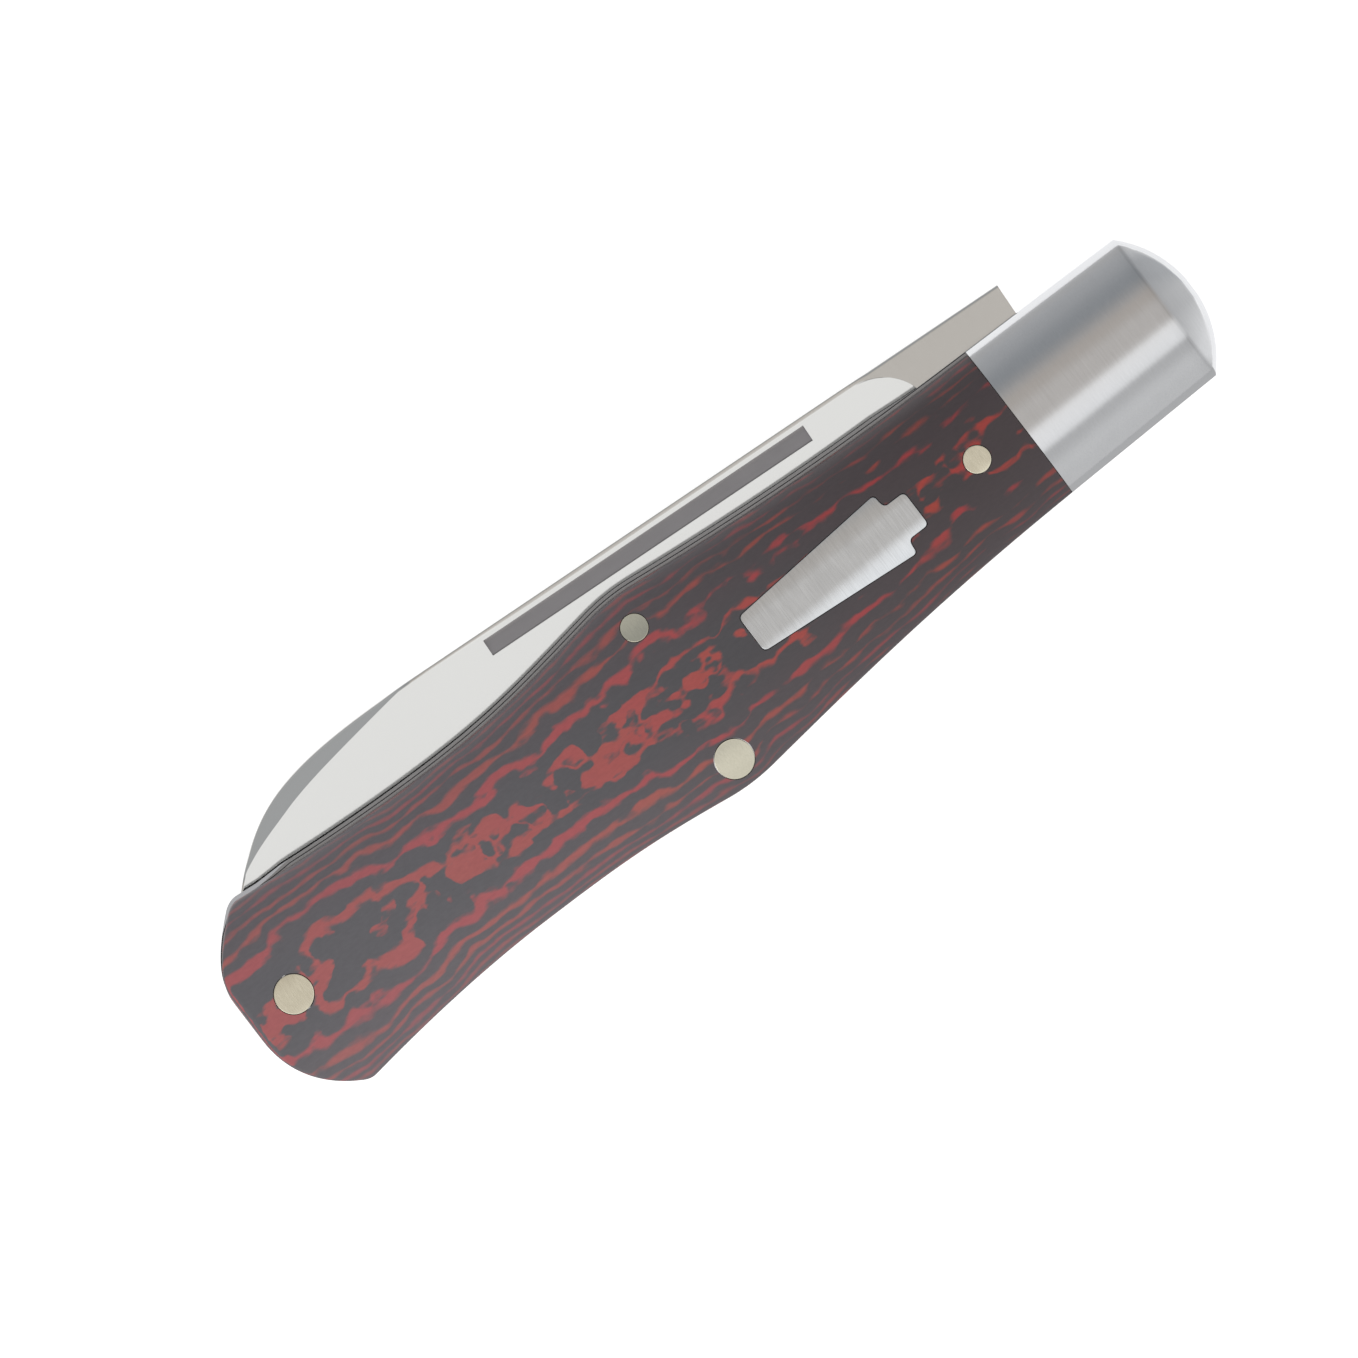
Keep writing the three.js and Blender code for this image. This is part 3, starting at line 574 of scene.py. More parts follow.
def laminate(finish):
    """Red and black laminate: dyed sheets pressed flat with resin, sanded to a crown and buffed. The
    crown cuts the sheets like the contour lines of a hill, which crowd towards the edges. The sheets are
    a little wavy: along the ridge, where the face is nearly flat, their lines turn into wide patches with
    black eyes between them, and towards the edges they are thin, broken and dull. A pale painted sheen
    is mixed into the colour, strongest at the butt, where the buffed covers catch light."""
    material, tree, shader, point = new_material("Red_black_laminate")
    # Soft noises: waves to the millimetre along each axis, a place of its own, detail, and the two values
    # that each runs between
    clouds = {}
    for name, scale, place, detail, low, high in (
        ("swell", (0.05, 0.12, 0.1), (0, 0, 0), 0, -0.4, 0.4),
        ("lumps", (0.24, 0.35, 0.35), (7, 3, 1), 0.5, -0.6, 0.6),
        ("teeth", (0.6, 0.6, 0.6), (2, 9, 4), 0.5, -0.7, 0.86),
        ("gaps", (0.4, 1, 0.7), (1, 5, 8), 2.5, -0.36, 0.36),
        ("dashes", (0.4, 1.5, 0.8), (6, 1, 3), 0.5, -1.6, 0.4),
        ("warmth", (0.12, 0.4, 0.4), (4, 4, 4), 2, 0, 1),
        ("shade", (1.5, 4, 4), (0, 0, 5), 3, 0.88, 1.12),
        ("grain", (3, 9, 9), (0, 0, 5), 3, 0.38, 0.5),
    ):
        stretched = add(tree, "Mapping", {"Vector": point, "Location": place, "Scale": scale})
        noise = add(tree, "TexNoise", {"Vector": stretched, "Scale": 1, "Detail": detail}, "Fac")
        clouds[name] = add(tree, "MapRange", {"Value": noise, "To Min": low, "To Max": high}, clamp=False)
    along, upright = (add(tree, "SeparateXYZ", {0: point}, axis) for axis in "XZ")
    share = add(tree, "MapRange", {"Value": along, "From Min": ORIGIN[0] / MM,
                                   "From Max": (ORIGIN[0] + HANDLE_LENGTH) / MM})

    # How many red sheets lie above each point: none on the ridge, where one is sanded half away
    away = add(tree, "Math", {0: upright, 1: ORIGIN[2] / MM}, operation="SUBTRACT")
    away = add(tree, "Math", {0: away}, operation="ABSOLUTE")
    depth = add(tree, "MapRange", {"Value": away, "From Min": CROWN_TOP / MM, "From Max": 0,
                                   "To Max": CROWN_TOP / MM})
    count = add(tree, "Math", {0: depth, 1: finish.sheet_power}, operation="POWER")
    count = add(tree, "Math", {0: count, 1: finish.sheet_count}, operation="MULTIPLY")
    eyes = add(tree, "ValToRGB", {0: share}, stops=[(at, (gone,) * 3) for at, gone in LAMINATE_EYES])
    # Small teeth make the patches ragged, and the thin sheets further down less so
    calm = add(tree, "Math", {0: count, 1: 0.8}, operation="ADD")
    teeth = add(tree, "Clamp", {"Value": clouds["teeth"], "Max": 0.27})
    teeth = add(tree, "Math", {0: teeth, 1: calm}, operation="DIVIDE")
    sheets = count
    for operation, value in (("ADD", clouds["lumps"]), ("ADD", clouds["swell"]), ("MAXIMUM", 0),
                             ("ADD", teeth), ("SUBTRACT", eyes), ("ADD", 0.5)):
        sheets = add(tree, "Math", {0: sheets, 1: value}, operation=operation)

    # Red where a point is nearer to the middle of a red sheet than half its thickness, which differs
    index = add(tree, "Math", {0: sheets}, operation="FLOOR")
    inside = sheets
    for operation, value in (("FRACT", 0), ("SUBTRACT", 0.5), ("ABSOLUTE", 0)):
        inside = add(tree, "Math", {0: inside, 1: value}, operation=operation)
    own = add(tree, "TexWhiteNoise", {"W": index}, "Value", noise_dimensions="1D")
    # Away from the ridge and towards the nose, sheets are thinner, more broken and less full in colour
    worn = add(tree, "MapRange", {"Value": share, "From Min": 0.4, "From Max": 0.8, "To Max": 2})
    worn = add(tree, "Math", {0: count, 1: worn}, operation="ADD")
    thick = add(tree, "MapRange", {"Value": worn, "From Max": 6, "To Min": 0.27, "To Max": 0.21})
    ragged = add(tree, "MapRange", {"Value": share, "From Min": 0.3, "From Max": 0.7,
                                    "To Min": 0.16, "To Max": 0.4})
    thick = add(tree, "Math", {0: clouds["dashes"], 1: ragged, 2: thick}, operation="MULTIPLY_ADD")
    blur = add(tree, "MapRange", {"Value": worn, "From Max": 5, "To Min": 0.07, "To Max": 0.24})
    for operation, value in (("ADD", clouds["gaps"]), ("SUBTRACT", inside), ("DIVIDE", blur)):
        thick = add(tree, "Math", {0: thick, 1: value}, operation=operation)
    full = add(tree, "MapRange", {"Value": worn, "From Min": 1, "From Max": 6, "To Min": 1, "To Max": 0.5})
    stain = add(tree, "MapRange", {"Value": worn, "From Min": 0.5, "From Max": 2, "To Max": 0.028})
    red_share = add(tree, "MapRange", {"Value": thick, "From Min": -1, "To Min": stain, "To Max": full},
                    interpolation_type="SMOOTHSTEP")
    # A sheet leans to rust by its own number and by a slow drift along it
    warmth = add(tree, "Math", {0: own, 1: clouds["warmth"]}, operation="ADD")
    warmth = add(tree, "MapRange", {"Value": warmth, "From Min": 0.6, "From Max": 1.6})
    colours = [(*tint, 1) for tint in (finish.red_layer, finish.rust_layer, finish.black_layer, finish.painted_sheen)]
    red = add(tree, "Mix", {0: warmth, 6: colours[0], 7: colours[1]}, 2, data_type="RGBA")
    sheet = add(tree, "Mix", {0: red_share, 6: colours[2], 7: red}, 2, data_type="RGBA")
    # Painted sheen: a pale colour mixed in, strongest at the butt and a little stronger down the crown, for
    # the light that the buffed covers catch there
    painted_sheen = add(tree, "MapRange", {"Value": share, "From Min": 0.1, "From Max": 0.8,
                                  "To Min": 0.155, "To Max": 0.004},
               interpolation_type="SMOOTHSTEP")
    painted_sheen = add(tree, "Math", {0: count, 1: 0.005, 2: painted_sheen}, operation="MULTIPLY_ADD")
    sheet = add(tree, "Mix", {0: painted_sheen, 6: sheet, 7: colours[3]}, 2, data_type="RGBA")
    tinted = add(tree, "VectorMath", {0: sheet, "Scale": clouds["shade"]}, operation="SCALE")
    relief = add(tree, "Bump", {"Height": clouds["grain"], "Strength": 0.5, "Distance": 0.01 * MM})
    fill(shader, {"Base Color": tinted, "Roughness": clouds["grain"], "Normal": relief, "IOR": 1.54})
    return material


# Pieces

FACES = (("front", 1), ("rear", -1))
NEAR_ENDS = [distance * MM for distance in (0.004, 0.014, 0.03, 0.055, 0.085, 0.13, 0.2, 0.3, 0.45, 0.7)]


def shell(name, side, outline, start, end, reveal):
    """A crowned cover or bolster. Its edge path runs round the outline and leaves out the joint between
    them, so that the joint stays crisp."""
    xs = outline.places(start, end, 0.8 * MM, NEAR_ENDS)
    low, high = outline.bottom(xs), outline.top(xs) - reveal
    back, front = np.stack([xs, low], 1), np.stack([xs, high], 1)
    edge = np.concatenate([back[::-1], front] if start < JOINT_X else [back, front[::-1]])
    into_nose = np.clip((xs - outline.nose) / (0.8 * MM), 0, 1)
    radius = mix(outline.shape.edge_round, outline.shape.nose_rim, into_nose)
    height = lambda x, y: outline.height(x, y, reveal)
    return crowned(name, side, xs, low, high, height, LINER_OUTER, radius, edge)


class KNIFE_OT_liners(bpy.types.Operator):
    """Make the two steel liners, flat plates with a fine groove beside the covers"""

    bl_idname = "knife.liners"
    bl_label = "Liners"

    def execute(self, context):
        shape, finish = context.scene.knife_handle, context.scene.knife_finish
        outline = Outline(shape)
        xs = outline.places(0, HANDLE_LENGTH, 1.5 * MM)[::2]
        xs[-1] = HANDLE_LENGTH
        back, front = (np.stack([xs, side(xs)], 1) for side in (outline.bottom, outline.top))
        plan = np.concatenate([back, front[::-1]])
        lip, lip_start, lip_end, coming, going = shape.lip
        into, out_of = (xs - lip_start) / coming, (lip_end - xs) / going
        lipped = front + np.outer(lip * np.clip(np.minimum(into, out_of), 0, 1), (0, 1))
        lipped = np.concatenate([back, lipped[::-1]])
        wear, wear_x, wear_reach = shape.worn
        from_wear = np.linalg.norm(plan - (wear_x, shape.blade_side[0]), axis=1)
        worn = wear * np.maximum(0, 1 - (from_wear / wear_reach) ** 2)
        # The groove: how far from the edge each of its three lines runs, and how deep
        profile = ((0.02, 0), (0.06, 0.06), (0.1, 0))
        groove = [(inset(plan, at * MM + worn), depth * MM) for at, depth in profile]
        # The outer face is a darker copy of the steel: painted shade, which shows as a thin dark strip beside
        # the cover
        steel = satin_metal("Painted_shade_liner_steel", finish.liner_steel, roughness=0.2, along_x=True)
        # Its rims and inner face are a brighter copy of the same steel: painted light, which lightens the
        # shaded slot beside the blade
        bright = satin_metal("Painted_light_liner_steel", finish.bolster_steel, roughness=0.2, along_x=True)
        for face, side in FACES:
            names = ["pivot_pin", "butt_pin", "spring_pin"]
            names += [f"{face}_{own}" for own in ("cover_middle_pin", "cover_forward_pin",
                                                  "bolster_upper_rivet", "bolster_lower_rivet")]
            heights = side * LINER_INNER, side * LINER_OUTER
            piece = place(plate(f"{face}_liner_plate", lipped, *heights, shape.chamfer / 2, worn, groove))
            cut(piece, pin_holes(names, shape.pin_gap))
            dress(piece, "handle", f"{face}_liner", steel)
            piece.data.materials.append(bright)
            # Faces that look outwards take the painted shade, the rims and the inner face take the painted
            # light
            normals = np.empty(3 * len(piece.data.polygons))
            piece.data.polygons.foreach_get("normal", normals)
            piece.data.polygons.foreach_set("material_index", (side * normals[2::3] < 0.5).astype(np.int32))
        return {"FINISHED"}


class KNIFE_OT_bolsters(bpy.types.Operator):
    """Make the two crowned bolsters, whose rivets and pivot pin are ground flush and don't show"""

    bl_idname = "knife.bolsters"
    bl_label = "Bolsters"

    def execute(self, context):
        outline = Outline(context.scene.knife_handle)
        # Broad calm bands of light along the knife, and faint scratches across them
        steel = satin_metal("Satin_bolster_steel", context.scene.knife_finish.bolster_steel, roughness=0.08,
                            line=0.08, run=3, tone=0.03)
        for face, side in FACES:
            piece = place(shell(f"{face}_bolster_shell", side, outline, JOINT_X, HANDLE_LENGTH, 0))
            dress(piece, "handle", f"{face}_bolster", steel)
        return {"FINISHED"}


def shield_half(shape, grow):
    """Upper half of the shield's outline, grown all round: a taper, a step down to its tab, and the tab's
    end. Each corner is a Bezier curve that is pulled to it."""
    taper, tab_length, narrow, wide, tab = shape.shield_size
    corner = shape.shield_corner
    step = pin_place("front_cover_forward_pin")[0][0] - shape.shield_to_pin - tab_length
    left, step = step - taper - grow, step + grow
    narrow, wide, tab, right = narrow + grow, wide + grow, tab + grow, step + tab_length
    slope = (wide - narrow) / (step - left) * corner
    return np.concatenate([
        bezier(8, (left, narrow - corner), (left, narrow), (left + corner, narrow + slope)),
        bezier(8, (step - corner, wide - slope), (step, wide), (step, wide - corner)),
        bezier(8, (step, wide - corner), (step, tab), (step + corner, tab))[1:],
        bezier(8, (right - corner, tab), (right, tab), (right, tab - corner)),
    ])


class KNIFE_OT_covers(bpy.types.Operator):
    """Make the two laminated covers, with holes for their pins and the pocket of the shield"""

    bl_idname = "knife.covers"
    bl_label = "Covers"

    def execute(self, context):
        shape = context.scene.knife_handle
        outline = Outline(shape)
        sheets = laminate(context.scene.knife_finish)
        for face, side in FACES:
            end = JOINT_X - shape.joint_gap
            piece = place(shell(f"{face}_cover_shell", side, outline, 0, end, shape.reveal))
            names = ["butt_pin", "spring_pin", f"{face}_cover_middle_pin", f"{face}_cover_forward_pin"]
            cutters = pin_holes(names, shape.pin_gap)
            if side > 0:
                half = shield_half(shape, shape.pin_gap)
                plan = np.concatenate([half * (1, -1), half[::-1]])
                floor = CROWN_TOP - shape.shield_depth
                walls = [at_height(plan, z) for z in (floor, 2 * CROWN_TOP)]
                cutters.append(lofted("Pocket", np.stack(walls)))
            cut(piece, cutters)
            dress(piece, "handle", f"{face}_cover", sheets)
        return {"FINISHED"}


class KNIFE_OT_shield(bpy.types.Operator):
    """Make the bare steel shield, let into the front cover and sanded with it"""

    bl_idname = "knife.shield"
    bl_label = "Shield"

    def execute(self, context):
        shape = context.scene.knife_handle
        outline = Outline(shape)
        half = shield_half(shape, 0)
        left, right = half[0, 0], half[-1, 0]
        gaps = np.array(NEAR_ENDS[:6])
        marks = np.concatenate([half[:, 0], left + gaps, right - gaps, np.arange(left, right, 0.3 * MM)])
        xs = np.unique(marks.round(9))
        width = np.interp(xs, *half.T)
        edge = np.concatenate([half * (1, -1), half[::-1], half[:1] * (1, -1)])
        height = lambda x, y: outline.height(x, y, shape.reveal) - shape.sink
        base = CROWN_TOP - shape.shield_depth
        piece = place(crowned("shield_plate", 1, xs, -width, width, height, base, shape.shield_round, edge))
        # Coarser scratches than on the bolsters, whose light and dark show as streaks across the shield
        steel = satin_metal("Satin_shield_steel", context.scene.knife_finish.shield_steel, roughness=0.11,
                            line=0.1, run=2.5, tone=0.09)
        dress(piece, "handle", "shield", steel)
        return {"FINISHED"}


class KNIFE_OT_backspring(bpy.types.Operator):
    """Make the backspring, a flat bar whose back is the back of the handle"""

    bl_idname = "knife.backspring"
    bl_label = "Backspring"

    def execute(self, context):
        shape, blade = context.scene.knife_handle, context.scene.knife_blade
        spring, outline = context.scene.knife_spring, Outline(context.scene.knife_handle)
        pin, radius = pin_place("spring_pin")
        lean = math.atan(shape.back_slopes[2])
        waist, waist_x = spring.waist[0], PIVOT[0] - spring.waist[1]
        waist_y = outline.back_at(waist_x) + waist
        pad_x, pad_y = PIVOT[0] - spring.pad[0], PIVOT[1] - blade.tang[0] - spring.pad[1]
        reach = (blade.tang[2] - spring.pad[1]) / math.cos(lean)
        # The end is a line square to the back, one gap short of the shoulders of the open tang
        end_x = lambda y: PIVOT[0] + reach - (y - PIVOT[1]) * math.tan(lean)
        arm_y = pin[1] + radius + spring.wall
        block_y, block, slope = spring.butt
        # The share of its run for which each curve of the inner edge follows its two ends
        ease = 0.45
        rear, front, bend = (run * ease for run in (waist_x - pin[0], pad_x - waist_x, slope))
        end = end_x(outline.back_at(PIVOT[0] + blade.tang[2]))
        xs = outline.places(0, end, 2 * MM)[::2]
        xs[-1] = end
        plan = joined([
            np.stack([xs, outline.back_at(xs)], 1),
            np.array([(end, 0), (end_x(pad_y), pad_y), (pad_x, pad_y)]),
            bezier(16, (pad_x, pad_y), (pad_x - front, pad_y), (waist_x + front, waist_y),
                   (waist_x, waist_y)),
            bezier(16, (waist_x, waist_y), (waist_x - rear, waist_y), (pin[0] + rear, arm_y),
                   (pin[0], arm_y)),
            bezier(8, (block + slope, arm_y), (block + slope - bend, arm_y), (block + bend, block_y),
                   (block, block_y)),
            np.array([(block, block_y), (0, block_y)]),
        ])
        width = LINER_INNER
        piece = place(plate("backspring_bar", plan, -width, width, shape.chamfer))
        cut(piece, pin_holes(["butt_pin", "spring_pin"], shape.pin_gap))
        # Duller than the other steel: the back of the handle shows a grey line between two bright ones
        steel = satin_metal("Satin_spring_steel", context.scene.knife_finish.spring_steel, roughness=0.25,
                            along_x=True)
        dress(piece, "handle", "backspring", steel)
        return {"FINISHED"}


class BladeForm:
    """The blade in its own axes: its outline, and its half thickness at any place."""

    def __init__(self, shape, lean):
        """The tip is given as it lies in the handle, and turned into the blade's axes. Spine and edge are
        Bezier curves to it. The ground face is a plane, whose slope is the loss of half thickness from
        the strip under the spine to the edge bevel, over the way between them."""
        self.shape = shape
        self.turn = math.pi - shape.closed_tilt
        self.lean = lean
        setback, tip_y = shape.tip
        spine_y, edge_y = -shape.offsets[0], shape.offsets[1]
        tip_x = (PIVOT[0] - setback - tip_y * math.sin(shape.closed_tilt)) / math.cos(shape.closed_tilt)
        self.tip_x, self.spine_y, self.edge_y = tip_x, spine_y, edge_y
        self.spine, self.edge = (
            bezier(96, (start, y), (mix(start, tip_x, pull), y),
                   (mix(start, tip_x, bend), mix(y, tip_y, rise)), (tip_x, tip_y))
            for start, y, (pull, bend, rise) in ((tip_x - shape.drop, spine_y, DROP_CURVE),
                                                 (tip_x - shape.belly, edge_y, BELLY_CURVE)))
        self.grind_top = spine_y + shape.spine_land[0]
        bevel, self.edge_half = shape.edge_bevel
        self.slope = (BLADE_HALF - self.edge_half) / (edge_y - bevel - self.grind_top)

    def ground_half(self, x, y):
        """Half thickness of the flat grind: it falls straight towards the edge bevel."""
        fall = np.interp(x, *self.edge.T) - self.shape.edge_bevel[0] - y
        return np.minimum(BLADE_HALF, self.edge_half + self.slope * fall)

    def plunge_at(self, x):
        """The plunge line: it leans a little from the edge, then a quarter ellipse carries it forward."""
        start, reach, height = self.shape.plunge
        # The share of its reach that the leaning part takes up
        lean = 0.1
        into = np.clip((x - start) / reach, 0, 1)
        foot = self.grind_top + height
        bottom = self.edge_y - self.shape.edge_bevel[0] - 0.2 * MM
        curve = foot - height * np.sqrt(1 - ((1 - np.maximum(into, lean)) / (1 - lean)) ** 2)
        return np.where(into < lean, mix(bottom, foot, into / lean), curve)

    def tang(self):
        """Upper and lower edge of the tang, from its end forwards: the arcs between its three flats, the
        kick, the notch behind the heel, and the step at the shoulder."""
        radius, corner, shoulder = self.shape.tang
        kick, heel = self.shape.kick
        notch = self.shape.choil
        facing = [-math.pi / 2 - angle for angle in (self.turn, (self.turn + self.lean) / 2, self.lean)]
        arcs = []
        for first, second in zip(facing, facing[1:]):
            out, middle = (radius - corner) / math.cos((second - first) / 2), (first + second) / 2
            angles = np.linspace(first, second, 25)
            arcs.append(np.stack([out * math.cos(middle) + corner * np.cos(angles),
                                  out * math.sin(middle) + corner * np.sin(angles)], 1))
        # The point some way along the flat that faces an angle
        on_flat = lambda angle, along: (radius * math.cos(angle) + along * math.sin(angle),
                                        radius * math.sin(angle) - along * math.cos(angle))
        kick_x, kick_y = on_flat(facing[0], kick)
        foot = on_flat(facing[2], -shoulder)
        # From the kick a short curve falls to the line of the edge, where the round notch begins
        angles = np.linspace(0, math.pi, 25)
        upper = joined([
            arcs[0][::-1],
            bezier(6, (kick_x, kick_y), (kick_x + notch / 2, kick_y), (heel - 2 * notch, self.edge_y)),
            np.stack([heel - notch - notch * np.cos(angles), self.edge_y - notch * np.sin(angles)], 1),
        ])
        lower = np.array([*arcs[1], foot, (shoulder - 0.001 * MM, foot[1]), (shoulder, self.spine_y)])
        return upper, lower

    def sections(self):
        """Rings round the blade, one for each place along it. Half a ring runs from the edge to the
        spine: the edge bevel, the ground face, the strip under the spine or the false edge, and the
        rounded spine. Close pairs of points keep the lines between these faces crisp."""
        shape = self.shape
        start, reach, _ = shape.plunge
        land, round_off = shape.spine_land
        length, width, back_half = shape.swedge
        fall = math.tan(shape.swedge_tilt)
        upper, lower = self.tang()
        rear = max(upper[0, 0], lower[0, 0])
        plain = np.concatenate([upper[:, 0], lower[:, 0], [shape.kick[1] + 0.01 * MM, start - 0.02 * MM]])
        plain = np.unique(plain[plain > rear].round(9))
        swedge_x, end = self.tip_x - length, start + reach
        # Places crowd where the plunge line begins and where the blade narrows to its tip
        ground = np.concatenate([
            mix(start, end, 1 - np.cos(np.linspace(0, math.pi / 2, 60))),
            np.linspace(end, swedge_x, 30)[1:],
            mix(swedge_x, self.tip_x, np.linspace(0, 1, 90)[1:-1] ** 0.85),
            [self.tip_x - 0.03 * MM],
        ])
        xs = np.concatenate([[rear], plain, ground])
        is_plain, before_end = xs < start, xs < end
        edge = np.where(is_plain, np.interp(xs, *upper.T), np.interp(xs, *self.edge.T))
        spine = np.where(is_plain, np.interp(xs, *lower.T), np.interp(xs, *self.spine.T))
        into = np.clip((xs - swedge_x) / length, 0, 1)
        # Near the tip, the edge bevel and the false edge take at most these shares of the blade's height
        bevel_share, swedge_share = 0.3, 0.45
        bevel = np.minimum(shape.edge_bevel[0], (edge - spine) * bevel_share)
        thinnest = (self.ground_half(xs, spine) - back_half) / (self.slope + fall)
        widest, last, gone = SWEDGE_SHARES
        grow, shrink = np.minimum(1, into / widest), np.clip((into - last) / (gone - last), 0, 1)
        cut = np.clip(thinnest, 0, width * np.sin(math.pi / 2 * grow) * np.cos(math.pi / 2 * shrink))
        cut = np.minimum(cut, (edge - spine) * swedge_share)
        near = np.maximum(cut, land)
        top = np.where(before_end, self.plunge_at(xs), spine + near + 0.02 * MM)
        top_half = self.ground_half(xs, top)
        foot = np.maximum(cut, round_off)
        foot_half = np.where(before_end, BLADE_HALF, self.ground_half(xs, spine + foot))
        back = foot_half - fall * np.minimum(1, cut / round_off) * foot
        # The last stretch thins to the point by a square root
        thinning = 1.2 * MM
        point = np.clip((self.tip_x - xs) / thinning, 0.1, 1) ** 0.5
        nothing, edge_half = np.zeros_like(xs), np.full_like(xs, self.edge_half)
        whole, chamfer = np.full_like(xs, BLADE_HALF), 0.1 * MM
        lines = [
            (edge, nothing),
            (np.where(is_plain, edge, edge - bevel), np.where(is_plain, BLADE_HALF - chamfer, edge_half)),
            (np.where(is_plain, edge - chamfer, top), np.where(is_plain, whole, top_half)),
            (np.where(is_plain, edge - 2 * chamfer, np.where(before_end, top - 0.03 * MM, spine + foot)),
             foot_half),
        ]
        lines = np.stack([np.stack(line, -1) for line in lines], 1)
        corner = np.stack([spine, back], -1)
        toward = lines[:, -1] - corner
        away = np.linalg.norm(toward, axis=1)[:, None]
        # The spine's rounding leaves at least half of the faces beside it flat
        soft = np.minimum(round_off, np.minimum(away[:, 0] * 0.4, back * 0.5))[:, None]
        arc_start, arc_end = corner + toward / away * soft, corner - soft * (0, 1)
        t = np.linspace(0, 1, 8)[:, None, None]
        arc = (1 - t) ** 2 * arc_start + 2 * t * (1 - t) * corner + t**2 * arc_end
        pair = 0.04 * MM
        half = [lines[:, 0]]
        for a, b in zip([*lines.swapaxes(0, 1)], [*lines.swapaxes(0, 1)[1:], arc[0]]):
            run = b - a
            size = np.maximum(np.linalg.norm(run, axis=1)[:, None], 1e-9)
            step = run / size * np.minimum(pair, size / 3)
            half += [a + step, b - step, b]
        half = np.stack([*half, *arc[1:]], 1)
        half[..., 1] *= point[:, None]
        ring = np.concatenate([half, half[:, :0:-1] * (1, -1)], 1)
        along = np.broadcast_to(xs[:, None, None], (*ring.shape[:2], 1))
        return np.concatenate([along, ring], -1)

    def closed(self, points):
        """Points of the blade's own axes, turned into the closed blade's place in the handle."""
        c, s = math.cos(self.turn), math.sin(self.turn)
        x, y, z = np.moveaxis(points, -1, 0)
        return np.stack([c * x - s * y, s * x + c * y, z], -1) + PIVOT

    def nick(self):
        """The nail pull: its floor is deepest beside the spine and climbs away from it."""
        start, end, from_spine, width, depth, far_depth = self.shape.nick
        near, far = self.spine_y + from_spine, self.spine_y + from_spine + width
        # How much its walls lean, and how far above the ground face the lean ends
        lean, lip = 0.13 * MM, 0.02 * MM
        ring = [(near + lean, -depth), (far - lean, -far_depth), (far, lip), (far, 2 * MM), (near, 2 * MM),
                (near, lip)]
        return np.array([[(x, y, self.ground_half(x, y) + z) for y, z in ring] for x in (start, end)])


class KNIFE_OT_blade(bpy.types.Operator):
    """Make the blade: flat ground, with a curved plunge line, a false edge and a long nail pull"""

    bl_idname = "knife.blade"
    bl_label = "Blade"

    def execute(self, context):
        shape, finish = context.scene.knife_blade, context.scene.knife_finish
        form = BladeForm(shape, math.atan(context.scene.knife_handle.back_slopes[2]))
        piece = place(lofted("blade_body", form.closed(form.sections())))
        hole = rod("Hole", PIVOT, shape.pivot_hole, -2 * BLADE_HALF, 2 * BLADE_HALF)
        cut(piece, [hole, lofted("Nick", form.closed(form.nick()))])
        # Scratches from spine to edge, too even to show: the flat grind is one calm light tone
        steel = satin_metal("Satin_blade_steel", finish.blade_steel, roughness=0.11, tone=0.01,
                            turn=shape.closed_tilt)
        dress(piece, "blade", "blade", steel)
        # Left as milled: rougher, so the sloped floor stays a plain dark grey. Its tint, darker than the
        # blade's, is partly the duller milled steel and partly painted shade of the recess
        floor = satin_metal("Milled_nail_pull_painted_shade", finish.nail_pull, roughness=0.35, along_x=True,
                            turn=shape.closed_tilt)
        piece.data.materials.append(floor)
        mesh = piece.data
        centres = np.empty(3 * len(mesh.polygons))
        mesh.polygons.foreach_get("center", centres)
        x, y, z = (centres.reshape(-1, 3) - ORIGIN - PIVOT).T
        c, s = math.cos(form.turn), math.sin(form.turn)
        x, y = c * x + s * y, c * y - s * x
        start, end, from_spine, width = shape.nick[:4]
        along, across = x - start, y - form.spine_y - from_spine
        under = form.ground_half(x, y) - z
        # The faces inside its outline and well under the ground face are its floor and walls
        inside = (along > -0.01 * MM) & (along < end - start + 0.01 * MM) & (across > 0) & (across < width)
        inside &= (under > 0.05 * MM) & (z > 0)
        mesh.polygons.foreach_set("material_index", inside.astype(np.int32))
        return {"FINISHED"}


def pin(name, outline, reveal, sink, faces):
    """A pin ground flush with the crown: rings widen from the middle of one face to its rounded rim, and
    narrow again on the other. A short pin has a flat end inside."""
    middle, radius = pin_place(name)

    def ring(share, side):
        """A circle at a share of the radius, at the crown's height less the rounded rim and the sink."""
        points = circle(middle, share * radius)
        drop = rounding(np.full(len(points), radius * (1 - share)), outline.shape.pin_rim) + sink
        return np.insert(points, 2, side * (outline.height(*points.T, reveal) - drop), axis=1)

    shares = (0.02, 0.3, 0.6, 0.85, 0.93, 0.96, 0.975, 0.99, 1)
    inner = at_height(circle(middle, radius), faces[0] * LINER_INNER)
    below = [ring(share, -1) for share in shares] if -1 in faces else [inner]
    above = [ring(share, 1) for share in shares[::-1]] if 1 in faces else [inner]
    return lofted(f"{name}_body", np.stack(below + above))


class KNIFE_OT_pins(bpy.types.Operator):
    """Make the nickel silver pins of the covers, ground flush with them"""

    bl_idname = "knife.pins"
    bl_label = "Pins"

    def execute(self, context):
        shape = context.scene.knife_handle
        outline = Outline(shape)
        # Warm and a little uneven: short sanding marks, which catch light here and there
        metal = satin_metal("Sanded_nickel_silver", context.scene.knife_finish.nickel_silver, roughness=0.13,
                            line=0.1, run=0.8, tone=0.06)
        rows = [("butt_pin", (-1, 1)), ("spring_pin", (-1, 1))]
        rows += [(f"{face}_cover_{where}_pin", (side,)) for face, side in FACES
                 for where in ("middle", "forward")]
        for name, faces in rows:
            piece = place(pin(name, outline, shape.reveal, shape.sink, faces))
            dress(piece, "handle", name, metal)
        return {"FINISHED"}


